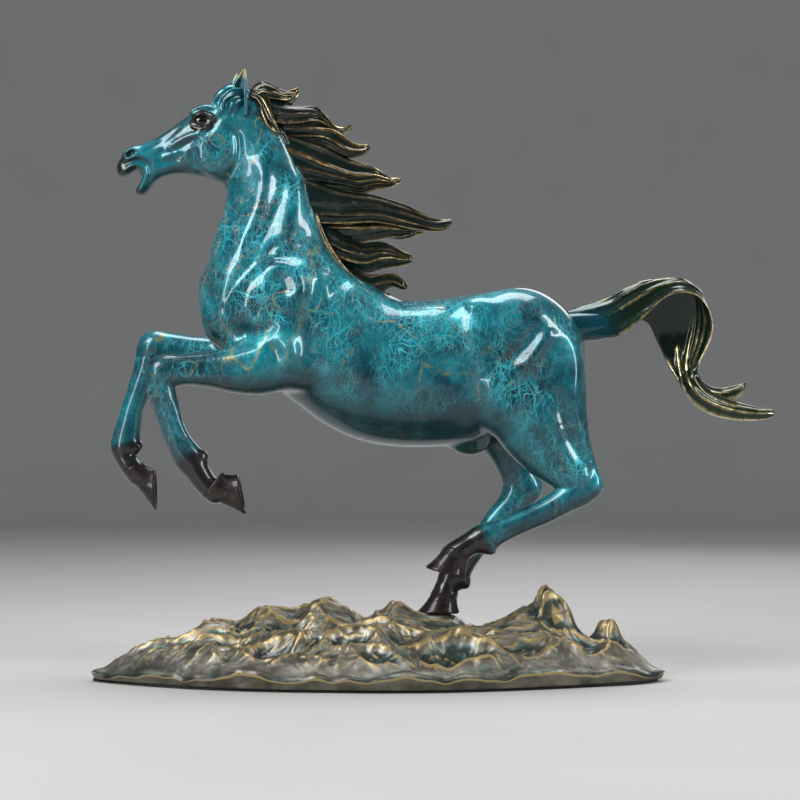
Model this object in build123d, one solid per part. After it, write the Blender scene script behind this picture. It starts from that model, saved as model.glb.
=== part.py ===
"""A rearing horse in patinated cast bronze on a cast rock base.

The horse faces -X, +Z is up and +Y is its right side.  The origin is the middle of
the underside of the felt pad that the statue stands on.  All sizes are millimetres.

Most castings are lofted through "rings".  A ring is one rounded section of a limb: two
outline points (x, z) that lie opposite each other in side view, the y of its middle,
and its half width across the horse.
"""

from build123d import *
import math
import os

# ---- driving dimensions -------------------------------------------------------------
BASE_HALF_LENGTH = 200.0
BASE_HALF_DEPTH = 75.0
BASE_RIM = 13.0            # height of the upright rim of the rock above the pad
BASE_WALL = 6.0            # thickness of the hollow base casting
PAD_THICKNESS = 2.0
PAD_INSET = 3.0
BODY_WALL = 5.0            # thickness of the hollow body and neck castings
HOOF_SEAT = (46.0, 26.0)   # x, y of the supporting hoof on the base
HOOF_SEAT_Z = 45.0
SEAT_RADIUS = 15.0
STUD_RADIUS = 3.0          # M6
STUD_CLEARANCE = 0.3
STUD_BOTTOM = 21.0
STUD_TOP = 57.0
BOSS_RADIUS = 11.0
BOSS_BOTTOM = 30.0
WASHER_RADIUS = 8.0
WASHER_THICKNESS = 1.6
NUT_ACROSS_FLATS = 10.0
NUT_THICKNESS = 5.0
EYE_RADIUS = 4.6
EYE = (-123.0, 10.6, 391.0)
RING_POINTS = 12
RIBS = 31                  # sections of the rock surface, and points on each
RIB_POINTS = 17
DEEP = -20.0               # below everything

# Outline of the rock base, seen from above, as (x, y) shares of its half length and depth.
BASE_OUTLINE = [
    (-1.00, 0.02), (-0.84, -0.34), (-0.50, -0.80), (-0.15, -0.97), (0.15, -1.00), (0.46, -0.84),
    (0.76, -0.54), (0.95, -0.26), (1.00, 0.06), (0.86, 0.50), (0.55, 0.82), (0.15, 0.98),
    (-0.25, 0.92), (-0.60, 0.62), (-0.88, 0.24),
]

# Mounds of the rock: x, y, height above the ground swell, reach along x, reach along y.
MOUNDS = [
    (-114, 14, 12, 17, 17), (-76, 12, 17, 16, 17), (-35, 20, 20, 20, 18), (12, 16, 17, 17, 18),
    (122, 17, 34, 18, 18), (163, 8, 20, 11, 15), (84, -12, 7, 15, 16), (-70, -34, 6, 26, 12),
    (-5, -40, 8, 22, 12), (60, -40, 7, 24, 12), (115, -30, 5, 18, 12), (-20, 50, 8, 30, 12),
    (70, 48, 7, 24, 12),
]
SWELL = 23.0               # height of the ground swell above the rim

# ---- rings of the horse: (outline point, opposite outline point, y, half width) ------
BODY = [
    ((-122, 281), (-122, 257), 0, 12), ((-113, 305), (-112, 235), 0, 27), ((-95, 312), (-93, 222), 0, 37),
    ((-66, 312), (-66, 199), 0, 42), ((-33, 294), (-35, 177), 0, 42), ((0, 272), (0, 165), 0, 44),
    ((35, 265), (35, 163), 0, 44), ((70, 270), (70, 169), 0, 42), ((100, 270), (100, 184), 0, 40),
    ((125, 261), (125, 196), 0, 33), ((140, 248), (140, 205), 0, 22), ((147, 236), (147, 216), 0, 9),
]
NECK = [
    ((-121, 258), (-8, 262), 0, 34), ((-122, 287), (-24, 291), 0, 31), ((-117, 308), (-38, 318), 0, 26),
    ((-109, 329), (-46, 343), 0, 22), ((-105, 345), (-56, 367), 0, 19), ((-103, 356), (-67, 385), 0, 17),
    ((-104, 366), (-79, 399), 0, 15),
]
HEAD = [
    ((-82, 404), (-90, 362), 0, 10), ((-96, 409), (-101, 352), 0, 14), ((-112, 405), (-113, 348), 0, 15),
    ((-127, 399), (-129, 352), 0, 14), ((-142, 387), (-145, 354), 0, 11), ((-156, 377), (-154, 357), 0, 9),
    ((-168, 372), (-166, 358), 0, 8.5), ((-176, 368), (-174, 356), 0, 8), ((-180, 363), (-179, 355), 0, 5),
]
JAW = [
    ((-146, 362), (-144, 353), 0, 8.5), ((-157, 359), (-153, 350), 0, 7), ((-163, 350), (-158, 344), 0, 6),
    ((-166, 342), (-161, 340), 0, 4),
]
LEFT_EAR = [
    ((-101, 405), (-91, 402), -8, 3.5), ((-99, 413), (-90, 413), -9, 4), ((-97, 422), (-91, 422), -9, 2.8),
    ((-94.5, 427.5), (-92.5, 427.5), -9, 1),
]
FORELOCK = [
    ((-97, 410), (-93, 403), 0, 5.5), ((-105, 413), (-103, 404), 0, 7), ((-113, 408), (-112, 402), 0, 5.5),
    ((-117, 403), (-116, 400), 0, 2),
]
LEFT_FORELEG = [
    ((-74, 239), (-46, 203), -26, 16), ((-92, 234), (-82, 199), -30, 14), ((-112, 230), (-108, 205), -31, 11),
    ((-131, 228), (-127, 206), -31, 9.5), ((-153, 227), (-137, 202), -31, 9), ((-157, 211), (-137, 198), -31, 8.5),
    ((-151, 189), (-135, 186), -31, 7), ((-144, 173), (-130, 173), -31, 7), ((-136, 155), (-116, 154), -31, 8),
    ((-128, 141), (-115, 148), -31, 7),
]
RIGHT_FORELEG = [
    ((-82, 240), (-66, 204), 26, 15), ((-114, 240), (-110, 217), 30, 11), ((-136, 243), (-133, 223), 30, 9.5),
    ((-161, 243), (-146, 223), 30, 9), ((-168, 232), (-151, 219), 30, 8.5), ((-176, 212), (-159, 208), 30, 7),
    ((-182, 192), (-166, 190), 30, 7), ((-187, 170), (-167, 169), 30, 8), ((-182, 156), (-173, 161), 30, 7),
]
LEFT_HINDLEG = [
    ((52, 235), (142, 238), -23, 17), ((62, 208), (143, 210), -27, 18), ((74, 178), (144, 185), -29, 15),
    ((92, 163), (146, 168), -30, 12), ((106, 153), (150, 153), -30, 10), ((117, 139), (158, 134), -30, 8.5),
    ((113, 132), (141, 124), -30, 8), ((97, 122), (104, 107), -30, 7.5), ((74, 112), (82, 96), -29, 7.5),
    ((58, 104), (72, 91), -28, 8), ((54, 99), (66, 90), -28, 7.5),
]
RIGHT_HINDLEG = [
    ((60, 215), (138, 218), 23, 17), ((68, 190), (128, 190), 27, 17), ((75, 163), (115, 167), 28, 12),
    ((87, 147), (115, 148), 28, 9.5), ((90, 135), (118, 132), 28, 8.5), ((85, 125), (108, 119), 28, 8),
    ((71, 106), (89, 99), 28, 7.5), ((57, 88), (74, 82), 27, 7.5), ((43, 69), (63, 66), 26, 8),
    ((41, 64), (56, 60.5), 26, 7.5),
]
# A hoof runs from the last ring of its leg to its sole ring.
SOLES = {
    "left_front_hoof": ((-97, 118), (-101, 149), -31, 11),
    "right_front_hoof": ((-160, 120), (-158, 150), 30, 11),
    "left_hind_hoof": ((36, 80), (61, 73), -28, 11),
    "right_hind_hoof": ((31, HOOF_SEAT_Z), (59, HOOF_SEAT_Z), 26, 12),
}
TAIL = [
    ((137, 259), (140, 240), 0, 8), ((157, 261), (161, 240), 0, 8.5), ((176, 271), (184, 251), -1, 9.5),
    ((197, 279), (198, 261), -2, 12), ((219, 275), (212, 261), -2, 14), ((235, 252), (221, 249), -1, 15),
    ((231, 233), (218, 235), 0, 13), ((223, 218), (213, 216), 1, 10),
]
TAIL_LOWER_LOCK = [
    ((223, 218), (213, 216), 1, 9), ((227, 206), (218, 197), 1, 9), ((243, 198), (240, 185), 1, 8),
    ((262, 191), (261, 182), 0, 6), ((279, 189), (278.5, 184), -1, 2.5),
]
TAIL_UPPER_LOCK = [
    ((229, 209), (228, 200), 4, 5), ((240, 205), (241, 196), 6, 5), ((251, 207), (254, 198), 7, 4),
    ((259, 208.5), (260, 205.5), 8, 2),
]
# Locks of the mane, from the poll down to the withers.
MANE = {
    "mane_lock_1_poll": [
        ((-88, 410), (-83, 397), -2, 9), ((-80, 417), (-74, 401), -3, 8), ((-67, 415), (-64, 400), -3, 6),
        ((-54, 414), (-56, 406), -4, 2.5),
    ],
    "mane_lock_2": [
        ((-80, 404), (-70, 389), -4, 10), ((-56, 402), (-54, 386), -7, 8), ((-39, 400), (-37, 386), -7, 6),
        ((-28, 391), (-27, 384), -6, 4), ((-18, 389), (-18.5, 385), -5, 2),
    ],
    "mane_lock_3": [
        ((-72, 392), (-60, 373), 2, 10), ((-46, 386), (-42, 371), 1, 8), ((-25, 380), (-23, 368), 0, 6),
        ((-6, 374), (-8, 370), -1, 2),
    ],
    "mane_lock_4": [
        ((-62, 376), (-46, 348), -3, 11), ((-28, 366), (-27, 345), -7, 8), ((-4, 360), (-5, 343), -6, 6),
        ((16, 351), (15, 347), -4, 2),
    ],
    "mane_lock_5": [
        ((-50, 352), (-36, 318), -2, 12), ((-20, 341), (-20, 314), -6, 9), ((6, 338), (8, 312), -5, 7),
        ((30, 329), (32, 315), -3, 5), ((52.5, 322), (51, 317.5), -2, 2),
    ],
    "mane_lock_6": [
        ((-42, 323), (-24, 294), 1, 12), ((-14, 309), (-13, 291), -3, 8), ((9, 302), (9, 290), -4, 6),
        ((25, 295), (23, 290.5), -4, 2),
    ],
    "mane_lock_7_withers": [
        ((-30, 300), (-5, 272), 0, 11), ((-8, 289), (0, 275), -3, 7), ((11, 285), (9, 276), -4, 5),
        ((20, 276), (17, 273), -4, 2),
    ],
}


# ---- helpers ------------------------------------------------------------------------
def ring(outline_point, opposite_point, y, half_width, shrink=0.0):
    """The many-sided face through two opposite outline points, smaller by shrink all round."""
    a = Vector(outline_point[0], y, outline_point[1])
    b = Vector(opposite_point[0], y, opposite_point[1])
    across = (b - a).normalized()
    plane = Plane(origin=(a + b) / 2, x_dir=across, z_dir=across.cross(Vector(0, 1, 0)))
    half_depth = (b - a).length / 2 - shrink
    half_width = half_width - shrink
    turns = [2 * math.pi * i / RING_POINTS for i in range(RING_POINTS)]
    points = [(half_depth * math.cos(t), half_width * math.sin(t)) for t in turns]
    return plane * make_face(Polyline(*points, close=True))


def casting(rings, shrink=0.0):
    """A solid lofted straight from ring to ring."""
    return loft([ring(*r, shrink=shrink) for r in rings], ruled=True)


def mirrored(rings):
    """The same rings on the other side of the horse."""
    return [(a, b, -y, half_width) for a, b, y, half_width in rings]


def one_solid(shape):
    """The largest solid of a shape, without the crumbs a cut may leave."""
    return max(shape.solids(), key=lambda s: s.volume)


# ---- base ---------------------------------------------------------------------------
def rock_height(x, y):
    """Height of the rock surface above the pad at (x, y)."""
    reach = min(1.0, math.hypot(x / BASE_HALF_LENGTH, y / BASE_HALF_DEPTH))
    height = PAD_THICKNESS + BASE_RIM + SWELL * (1 - reach ** 2)
    for mx, my, mh, rx, ry in MOUNDS:
        height += mh * math.exp(-(((x - mx) / rx) ** 2) - ((y - my) / ry) ** 2)
    seat = math.hypot(x - HOOF_SEAT[0], y - HOOF_SEAT[1]) / SEAT_RADIUS
    blend = math.exp(-(seat ** 4) / 6)
    return height * (1 - blend) + (HOOF_SEAT_Z - 1) * blend


def ground_under(drop):
    """Everything below the rock surface, lowered by drop: a loft of ribs along x."""
    span_x, span_y = 1.05 * BASE_HALF_LENGTH, 1.15 * BASE_HALF_DEPTH
    ribs = []
    for i in range(RIBS):
        x = span_x * (2 * i / (RIBS - 1) - 1)
        ys = [span_y * (2 * j / (RIB_POINTS - 1) - 1) for j in range(RIB_POINTS)]
        crest = [(x, y, rock_height(x, y) - drop) for y in ys]
        ribs.append(make_face(Polyline((x, ys[0], DEEP), *crest, (x, ys[-1], DEEP), close=True)))
    return loft(ribs, ruled=True)


def outline_block(inset, bottom, top):
    """An upright block of the base outline, inset all round."""
    half_length, half_depth = BASE_HALF_LENGTH - inset, BASE_HALF_DEPTH - inset
    points = [(sx * half_length, sy * half_depth) for sx, sy in BASE_OUTLINE]
    outline = Plane.XY.offset(bottom) * make_face(Spline(*points, periodic=True))
    return extrude(outline, amount=top - bottom)


def upright(radius, bottom, top):
    """A cylinder on the stud's axis."""
    x, y = HOOF_SEAT
    return Pos(x, y, (bottom + top) / 2) * Cylinder(radius, top - bottom)


def make_base():
    """Hollow rock casting with a seat for the hoof and a boss under it for the stud."""
    rock = outline_block(0, PAD_THICKNESS, 150) & ground_under(0)
    hollow = outline_block(BASE_WALL, PAD_THICKNESS - 1, 150) & ground_under(BASE_WALL)
    seat = upright(SEAT_RADIUS, HOOF_SEAT_Z - BASE_WALL, HOOF_SEAT_Z)
    boss = upright(BOSS_RADIUS, BOSS_BOTTOM, HOOF_SEAT_Z - 1)
    headroom = upright(SEAT_RADIUS + 2, HOOF_SEAT_Z, HOOF_SEAT_Z + 60)
    hole = upright(STUD_RADIUS + STUD_CLEARANCE, BOSS_BOTTOM - 1, HOOF_SEAT_Z + 1)
    return one_solid(rock - hollow + seat + boss - headroom - hole)


def make_pad():
    """Felt glued under the base."""
    return outline_block(PAD_INSET, 0, PAD_THICKNESS)


def make_fixing():
    """The stud in the supporting hoof, with its washer and nut under the boss."""
    stud = upright(STUD_RADIUS, STUD_BOTTOM, STUD_TOP)
    washer_bottom = BOSS_BOTTOM - WASHER_THICKNESS
    washer = upright(WASHER_RADIUS, washer_bottom, BOSS_BOTTOM)
    washer -= upright(STUD_RADIUS + STUD_CLEARANCE, washer_bottom - 1, BOSS_BOTTOM + 1)
    hexagon = RegularPolygon(NUT_ACROSS_FLATS / 2, 6, major_radius=False)
    nut_bottom = washer_bottom - NUT_THICKNESS
    nut = extrude(Pos(*HOOF_SEAT, nut_bottom) * hexagon, amount=NUT_THICKNESS)
    nut -= upright(STUD_RADIUS, nut_bottom - 1, washer_bottom + 1)
    return {"mounting_stud": stud, "stud_washer": washer, "stud_nut": nut}


# ---- horse --------------------------------------------------------------------------
def make_horse():
    """Every casting of the horse, cut back so that neighbours meet face to face."""
    body = casting(BODY)
    neck = casting(NECK)
    body_core = casting(BODY[1:-1], shrink=BODY_WALL)
    neck_core = casting(NECK[:-1], shrink=BODY_WALL)
    parts = {
        "body": body - body_core - neck_core,
        "neck": one_solid(neck - body - neck_core),
    }

    head = casting(HEAD)
    ears = {"left_ear": casting(LEFT_EAR), "right_ear": casting(mirrored(LEFT_EAR))}
    eye_x, eye_y, eye_z = EYE
    eyes = {
        "left_eye": Pos(eye_x, -eye_y, eye_z) * Sphere(EYE_RADIUS),
        "right_eye": Pos(eye_x, eye_y, eye_z) * Sphere(EYE_RADIUS),
    }
    head = head - neck
    for eye in eyes.values():
        head = head - eye
    head = one_solid(head)
    parts["head"] = head
    parts["lower_jaw"] = one_solid(casting(JAW) - head)
    parts.update(eyes)
    for name, ear in ears.items():
        parts[name] = one_solid(ear - head - neck)

    legs = {
        "left_foreleg": LEFT_FORELEG, "right_foreleg": RIGHT_FORELEG,
        "left_hindleg": LEFT_HINDLEG, "right_hindleg": RIGHT_HINDLEG,
    }
    stud = upright(STUD_RADIUS, STUD_BOTTOM, STUD_TOP)
    for name, rings in legs.items():
        parts[name] = one_solid(casting(rings) - body - stud)
        hoof_name = name.replace("foreleg", "front_hoof").replace("hindleg", "hind_hoof")
        sole = SOLES[hoof_name]
        parts[hoof_name] = one_solid(casting([rings[-1], sole]) - stud)

    tail = casting(TAIL)
    parts["tail"] = one_solid(tail - body)
    lower_lock = casting(TAIL_LOWER_LOCK) - tail
    parts["tail_lower_lock"] = one_solid(lower_lock)
    parts["tail_upper_lock"] = one_solid(casting(TAIL_UPPER_LOCK) - lower_lock - tail)

    taken = [body, neck, head, parts["left_ear"], parts["right_ear"]]
    locks = dict(MANE, forelock=FORELOCK)
    for name, rings in locks.items():
        lock = casting(rings)
        for other in taken:
            lock = lock - other
        parts[name] = one_solid(lock)
        taken.append(parts[name])
    return parts


def main():
    os.makedirs("parts", exist_ok=True)
    parts = {"base": make_base(), "felt_pad": make_pad()}
    parts.update(make_fixing())
    parts.update(make_horse())
    for name, shape in parts.items():
        export_step(Compound(children=list(shape.solids())), f"parts/{name}.step")


main()
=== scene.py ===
"""A rearing bronze horse on a cast rock base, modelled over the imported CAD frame.

The horse faces -X, +Z is up and +Y is its right side.  The castings are sculpted in
millimetres as distance fields that blend into each other, skinned with a mesh and cut
apart where the real castings are welded.  The mane, the tail and the rock are built
as grooved surfaces.
"""

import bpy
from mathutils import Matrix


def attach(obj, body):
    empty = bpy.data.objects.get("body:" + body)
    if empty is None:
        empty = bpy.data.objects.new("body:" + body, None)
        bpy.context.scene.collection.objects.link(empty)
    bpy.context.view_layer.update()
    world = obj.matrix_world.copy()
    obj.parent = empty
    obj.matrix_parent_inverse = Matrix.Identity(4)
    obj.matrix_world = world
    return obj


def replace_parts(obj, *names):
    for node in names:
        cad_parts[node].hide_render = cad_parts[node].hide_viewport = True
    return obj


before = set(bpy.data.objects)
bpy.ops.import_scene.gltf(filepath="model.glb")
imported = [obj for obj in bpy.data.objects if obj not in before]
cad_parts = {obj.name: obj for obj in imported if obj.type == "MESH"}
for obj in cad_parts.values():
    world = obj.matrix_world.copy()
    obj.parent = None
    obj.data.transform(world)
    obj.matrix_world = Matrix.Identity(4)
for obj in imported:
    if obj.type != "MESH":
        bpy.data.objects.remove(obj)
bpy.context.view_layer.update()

import copy
import math
import bpy
import numpy as np
from mathutils import Vector

MM = 0.001
FAR_OUTSIDE = 40.0         # distance that stands for empty space in the clay
HOOF_SEAT = (45.0, 26.0)   # x, y where the supporting hoof stands on the rock
HOOF_SEAT_Z = 44.8
PAD_TOP = 2.0              # height of the underside of the rock


# ---- clay: a block of signed distances ----------------------------------------------
def smooth_min(a, b, k):
    """The smaller of two distances, rounded over k."""
    h = np.maximum(k - np.abs(a - b), 0) / k
    return np.minimum(a, b) - h * h * k * 0.25


def oval(u, w, half_u, half_w):
    """Distance to an ellipse, close to its edge."""
    r = np.sqrt((u / half_u) ** 2 + (w / half_w) ** 2) + 1e-6
    slope = np.sqrt((u / half_u ** 2) ** 2 + (w / half_w ** 2) ** 2) / r + 1e-6
    return (r - 1) / slope


def curve_through(points, count):
    """A smooth curve through rows of numbers, sampled evenly."""
    p = np.array(points, float)
    p = np.vstack([2 * p[0] - p[1], p, 2 * p[-1] - p[-2]])
    rows = []
    spans = len(p) - 3
    for s in np.linspace(0, spans - 1e-9, count):
        i = int(s)
        t = s - i
        a, b, c, d = p[i:i + 4]
        rows.append(0.5 * (2 * b + (c - a) * t + (2 * a - 5 * b + 4 * c - d) * t * t
                           + (3 * b - a - 3 * c + d) * t ** 3))
    return np.array(rows)


class Clay:
    """A block of clay: distances to its surface on a grid, negative inside."""

    def __init__(self, low, high, step):
        self.low, self.step = np.array(low, float), step
        self.n = np.ceil((np.array(high, float) - self.low) / step).astype(int) + 1
        self.d = np.full(self.n, FAR_OUTSIDE, np.float32)

    def window(self, low, high):
        """The cells between two corners, as slices and coordinates, or None outside the block."""
        a = np.clip(np.floor((np.array(low) - self.low) / self.step).astype(int), 0, self.n)
        b = np.clip(np.ceil((np.array(high) - self.low) / self.step).astype(int) + 1, 0, self.n)
        if (b - a < 2).any():
            return None
        axes = [(self.low[i] + self.step * np.arange(a[i], b[i])).astype(np.float32) for i in range(3)]
        x, y, z = np.meshgrid(*axes, indexing="ij", sparse=True)
        return tuple(slice(a[i], b[i]) for i in range(3)), x, y, z

    def add(self, low, high, shape, k):
        """Joins a shape on, with its seam rounded over k."""
        place = self.window(low, high)
        if place:
            cut, x, y, z = place
            self.d[cut] = smooth_min(self.d[cut], shape(x, y, z), k)

    def carve(self, low, high, shape, k):
        """Cuts a shape out, with its edge rounded over k."""
        place = self.window(low, high)
        if place:
            cut, x, y, z = place
            self.d[cut] = -smooth_min(-self.d[cut], shape(x, y, z), k)

    def press(self, low, high, depth):
        """Adds a depth field: positive presses in, negative raises."""
        place = self.window(low, high)
        if place:
            cut, x, y, z = place
            self.d[cut] += depth(x, y, z)

    def ball(self, centre, radii, turn=0, k=6, sides=1, carve=False):
        """An ellipsoid, turned by so many degrees in side view; sides 2 mirrors it."""
        for side in (1, -1)[:sides]:
            c = np.array([centre[0], side * centre[1], centre[2]], float)
            ca, sa = math.cos(math.radians(turn)), math.sin(math.radians(turn))
            reach = max(radii) + k + 3

            def shape(x, y, z):
                dx, dy, dz = x - c[0], y - c[1], z - c[2]
                u, w = dx * ca + dz * sa, dz * ca - dx * sa
                r = np.sqrt((u / radii[0]) ** 2 + (dy / radii[1]) ** 2 + (w / radii[2]) ** 2) + 1e-6
                slope = np.sqrt((u / radii[0] ** 2) ** 2 + (dy / radii[1] ** 2) ** 2
                                + (w / radii[2] ** 2) ** 2) / r
                return (r - 1) / (slope + 1e-6)
            (self.carve if carve else self.add)(c - reach, c + reach, shape, k)

    def limb(self, stations, k=5, fine=5):
        """A limb through stations (x, z, radius in side view, y, half width)."""
        p = curve_through(stations, (len(stations) - 1) * fine + 1)
        reach = p[:, [2, 4]].max() + k + 4
        low = np.array([p[:, 0].min(), p[:, 3].min(), p[:, 1].min()]) - reach
        high = np.array([p[:, 0].max(), p[:, 3].max(), p[:, 1].max()]) + reach
        place = self.window(low, high)
        if not place:
            return
        cut, *_ = place
        whole = copy.copy(self)
        whole.low = self.low + self.step * np.array([s.start for s in cut])
        whole.n = np.array([s.stop - s.start for s in cut])
        whole.d = np.full(whole.n, 1.5 * FAR_OUTSIDE, np.float32)
        for a, b in zip(p, p[1:]):
            r = max(a[2], b[2], a[4], b[4]) + k + 4
            lo = np.array([min(a[0], b[0]), min(a[3], b[3]), min(a[1], b[1])]) - r
            hi = np.array([max(a[0], b[0]), max(a[3], b[3]), max(a[1], b[1])]) + r
            local = whole.window(lo, hi)
            if not local:
                continue
            part, x, y, z = local
            ax, az = b[0] - a[0], b[1] - a[1]
            t = np.clip(((x - a[0]) * ax + (z - a[1]) * az) / (ax * ax + az * az + 1e-9), 0, 1)
            u = np.hypot(x - a[0] - ax * t, z - a[1] - az * t)
            d = oval(u, y - (a[3] + (b[3] - a[3]) * t), a[2] + (b[2] - a[2]) * t, a[4] + (b[4] - a[4]) * t)
            whole.d[part] = np.minimum(whole.d[part], d)
        self.d[cut] = smooth_min(self.d[cut], whole.d, k)

    def slab(self, along, rows, k=8, box=1.0):
        """A mass cut in slices along x or z: rows of (place, one edge, other edge, half width)."""
        rows = np.array(rows, float)
        s = np.linspace(rows[0, 0], rows[-1, 0], 160)
        fine = curve_through(rows, 400)
        first, last, half = (np.interp(s, fine[:, 0], fine[:, i]) for i in (1, 2, 3))
        lo_s, hi_s = rows[0, 0], rows[-1, 0]
        lo_e, hi_e = min(rows[:, 1].min(), rows[:, 2].min()), max(rows[:, 1].max(), rows[:, 2].max())
        b, m = rows[:, 3].max(), k + 5
        if along == "x":
            low, high = (lo_s - m, -b - m, lo_e - m), (hi_s + m, b + m, hi_e + m)
        else:
            low, high = (lo_e - m, -b - m, lo_s - m), (hi_e + m, b + m, hi_s + m)

        def shape(x, y, z):
            p, q = (x, z) if along == "x" else (z, x)
            e1, e2, hw = (np.interp(p, s, v).astype(np.float32) for v in (first, last, half))
            mid, a = (e1 + e2) / 2, np.maximum(np.abs(e1 - e2) / 2, 0.5)
            hw = np.maximum(hw, 0.5)
            power = 2 * box
            r = ((np.abs(q - mid) / a) ** power + (np.abs(y) / hw) ** power) ** (1 / power)
            gq, gy = np.gradient(r, self.step, axis=(2 if along == "x" else 0, 1))
            d = (r - 1) / np.maximum(np.hypot(gq, gy), 0.02)
            past = np.abs(p - (lo_s + hi_s) / 2) - (hi_s - lo_s) / 2
            return -smooth_min(-d, -past, 6)
        self.add(low, high, shape, k)

    def profile(self, outline, halves, k=5):
        """A mass with this outline (x, z) in side view; halves are (x, half width, edge rounding)."""
        p = curve_through(outline + outline[:1], 6 * len(outline))
        halves = np.array(halves, float)
        m = k + 6
        low = (p[:, 0].min() - m, -halves[:, 1].max() - m, p[:, 1].min() - m)
        high = (p[:, 0].max() + m, halves[:, 1].max() + m, p[:, 1].max() + m)

        def shape(x, y, z):
            near = np.full((x.shape[0], 1, z.shape[2]), 1e9, np.float32)
            crossed = np.zeros(near.shape, bool)
            for a, b in zip(p, p[1:]):
                ax, az = b - a
                t = np.clip(((x - a[0]) * ax + (z - a[1]) * az) / (ax * ax + az * az + 1e-9), 0, 1)
                near = np.minimum(near, (x - a[0] - ax * t) ** 2 + (z - a[1] - az * t) ** 2)
                if abs(az) > 1e-9:
                    crossed ^= ((a[1] > z) != (b[1] > z)) & (x < a[0] + (z - a[1]) * ax / az)
            depth = np.where(crossed, 1, -1) * np.sqrt(near)
            half, edge = (np.interp(x, halves[:, 0], halves[:, i]).astype(np.float32) for i in (1, 2))
            return oval(np.maximum(edge - depth, 0), y, edge, half)
        self.add(low, high, shape, k)

    def stroke(self, points, width, depth, side=0, inner=5, outer=14):
        """A soft groove (depth > 0) or ridge (< 0) along (x, z) points, on one or both flanks."""
        p = curve_through(points, max(12, 6 * len(points)))
        m = 2.6 * width
        low, high = p.min(0) - m, p.max(0) + m
        ends = np.linspace(0, 1, len(p))
        strength = np.clip(np.minimum(ends, 1 - ends) * 5, 0, 1) ** 0.7

        def field(x, y, z):
            best = np.full((x.shape[0], 1, z.shape[2]), 1e9, np.float32)
            power = np.zeros_like(best)
            for (a, b, sa) in zip(p, p[1:], strength):
                ax, az = b - a
                t = np.clip(((x - a[0]) * ax + (z - a[1]) * az) / (ax * ax + az * az + 1e-9), 0, 1)
                d2 = (x - a[0] - ax * t) ** 2 + (z - a[1] - az * t) ** 2
                power = np.where(d2 < best, sa, power)
                best = np.minimum(best, d2)
            mask = np.clip((np.abs(y) - inner) / (outer - inner), 0, 1)
            if side:
                mask = mask * (y * side > 0)
            return (depth * power * np.exp(-best / width ** 2) * mask).astype(np.float32)
        self.press((low[0], -60, low[1]), (high[0], 60, high[1]), field)

    def blur(self):
        """Softens the clay by about one grid step."""
        for axis in range(3):
            n = self.n[axis]
            wide = np.pad(self.d, [(1, 1) if i == axis else (0, 0) for i in range(3)], mode="edge")
            before, after = np.take(wide, range(n), axis), np.take(wide, range(2, n + 2), axis)
            self.d = 0.5 * self.d + 0.25 * (before + after)

    def sample(self, field, p):
        """A field of the block at points p, in between its cells."""
        q = (p - self.low) / self.step
        i = np.clip(np.floor(q).astype(int), 0, self.n - 2)
        f = (q - i).astype(np.float32)
        out = 0
        for dx in (0, 1):
            for dy in (0, 1):
                for dz in (0, 1):
                    w = ((f[:, 0] if dx else 1 - f[:, 0]) * (f[:, 1] if dy else 1 - f[:, 1])
                         * (f[:, 2] if dz else 1 - f[:, 2]))
                    out = out + w * field[i[:, 0] + dx, i[:, 1] + dy, i[:, 2] + dz]
        return out

    def skin(self):
        """Surface of the clay as (vertices, triangles, normals)."""
        inside = self.d < 0
        count = sum(inside[x:self.n[0] - 1 + x, y:self.n[1] - 1 + y, z:self.n[2] - 1 + z].astype(np.int8)
                    for x in (0, 1) for y in (0, 1) for z in (0, 1))
        cells = np.argwhere((count > 0) & (count < 8))
        label = np.full(count.shape, -1, np.int32)
        label[tuple(cells.T)] = np.arange(len(cells))
        total, hits = np.zeros((len(cells), 3)), np.zeros(len(cells))
        corners = [(x, y, z) for x in (0, 1) for y in (0, 1) for z in (0, 1)]
        for c in corners:
            for axis in range(3):
                if c[axis]:
                    continue
                other = list(c)
                other[axis] = 1
                d0, d1 = self.d[tuple((cells + c).T)], self.d[tuple((cells + other).T)]
                cross = (d0 < 0) != (d1 < 0)
                t = np.where(cross, d0 / np.where(cross, d0 - d1, 1), 0)
                spot = np.array(c, float) + np.zeros((len(cells), 3))
                spot[:, axis] += t
                total += spot * cross[:, None]
                hits += cross
        verts = self.low + self.step * (cells + total / hits[:, None])
        quads = []
        for axis in range(3):
            u, v = (axis + 1) % 3, (axis + 2) % 3
            a = np.take(inside, range(0, self.n[axis] - 1), axis)
            b = np.take(inside, range(1, self.n[axis]), axis)
            edge = np.argwhere(a != b)
            edge = edge[(edge[:, u] > 0) & (edge[:, v] > 0) & (edge[:, u] < self.n[u] - 1)
                        & (edge[:, v] < self.n[v] - 1)]
            du, dv = np.eye(3, dtype=int)[u], np.eye(3, dtype=int)[v]
            ring = np.stack([label[tuple((edge - s).T)] for s in (du + dv, dv, 0 * du, du)], 1)
            flip = ~inside[tuple(edge.T)]
            ring[flip] = ring[flip][:, ::-1]
            quads.append(ring)
        quads = np.vstack(quads)
        grads = np.gradient(self.d, self.step)
        for _ in range(2):
            g = np.stack([self.sample(x, verts) for x in grads], 1)
            d = self.sample(self.d, verts)
            move = g * (d / np.maximum((g * g).sum(1), 0.2))[:, None]
            verts = verts - np.clip(move, -0.4 * self.step, 0.4 * self.step)
        g = np.stack([self.sample(x, verts) for x in grads], 1)
        normals = g / np.maximum(np.linalg.norm(g, axis=1), 1e-6)[:, None]
        tris = np.vstack([quads[:, [0, 1, 2]], quads[:, [0, 2, 3]]])
        return verts, tris, normals


def strip(ids, turned=False):
    """Quads between the rows of a grid of vertex numbers whose rows are closed loops."""
    a, b = ids[:-1], ids[1:]
    beside_b, beside_a = np.roll(b, -1, 1), np.roll(a, -1, 1)
    return np.stack([a, b, beside_b, beside_a] if turned else [a, beside_a, beside_b, b], -1).reshape(-1, 4)


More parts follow.
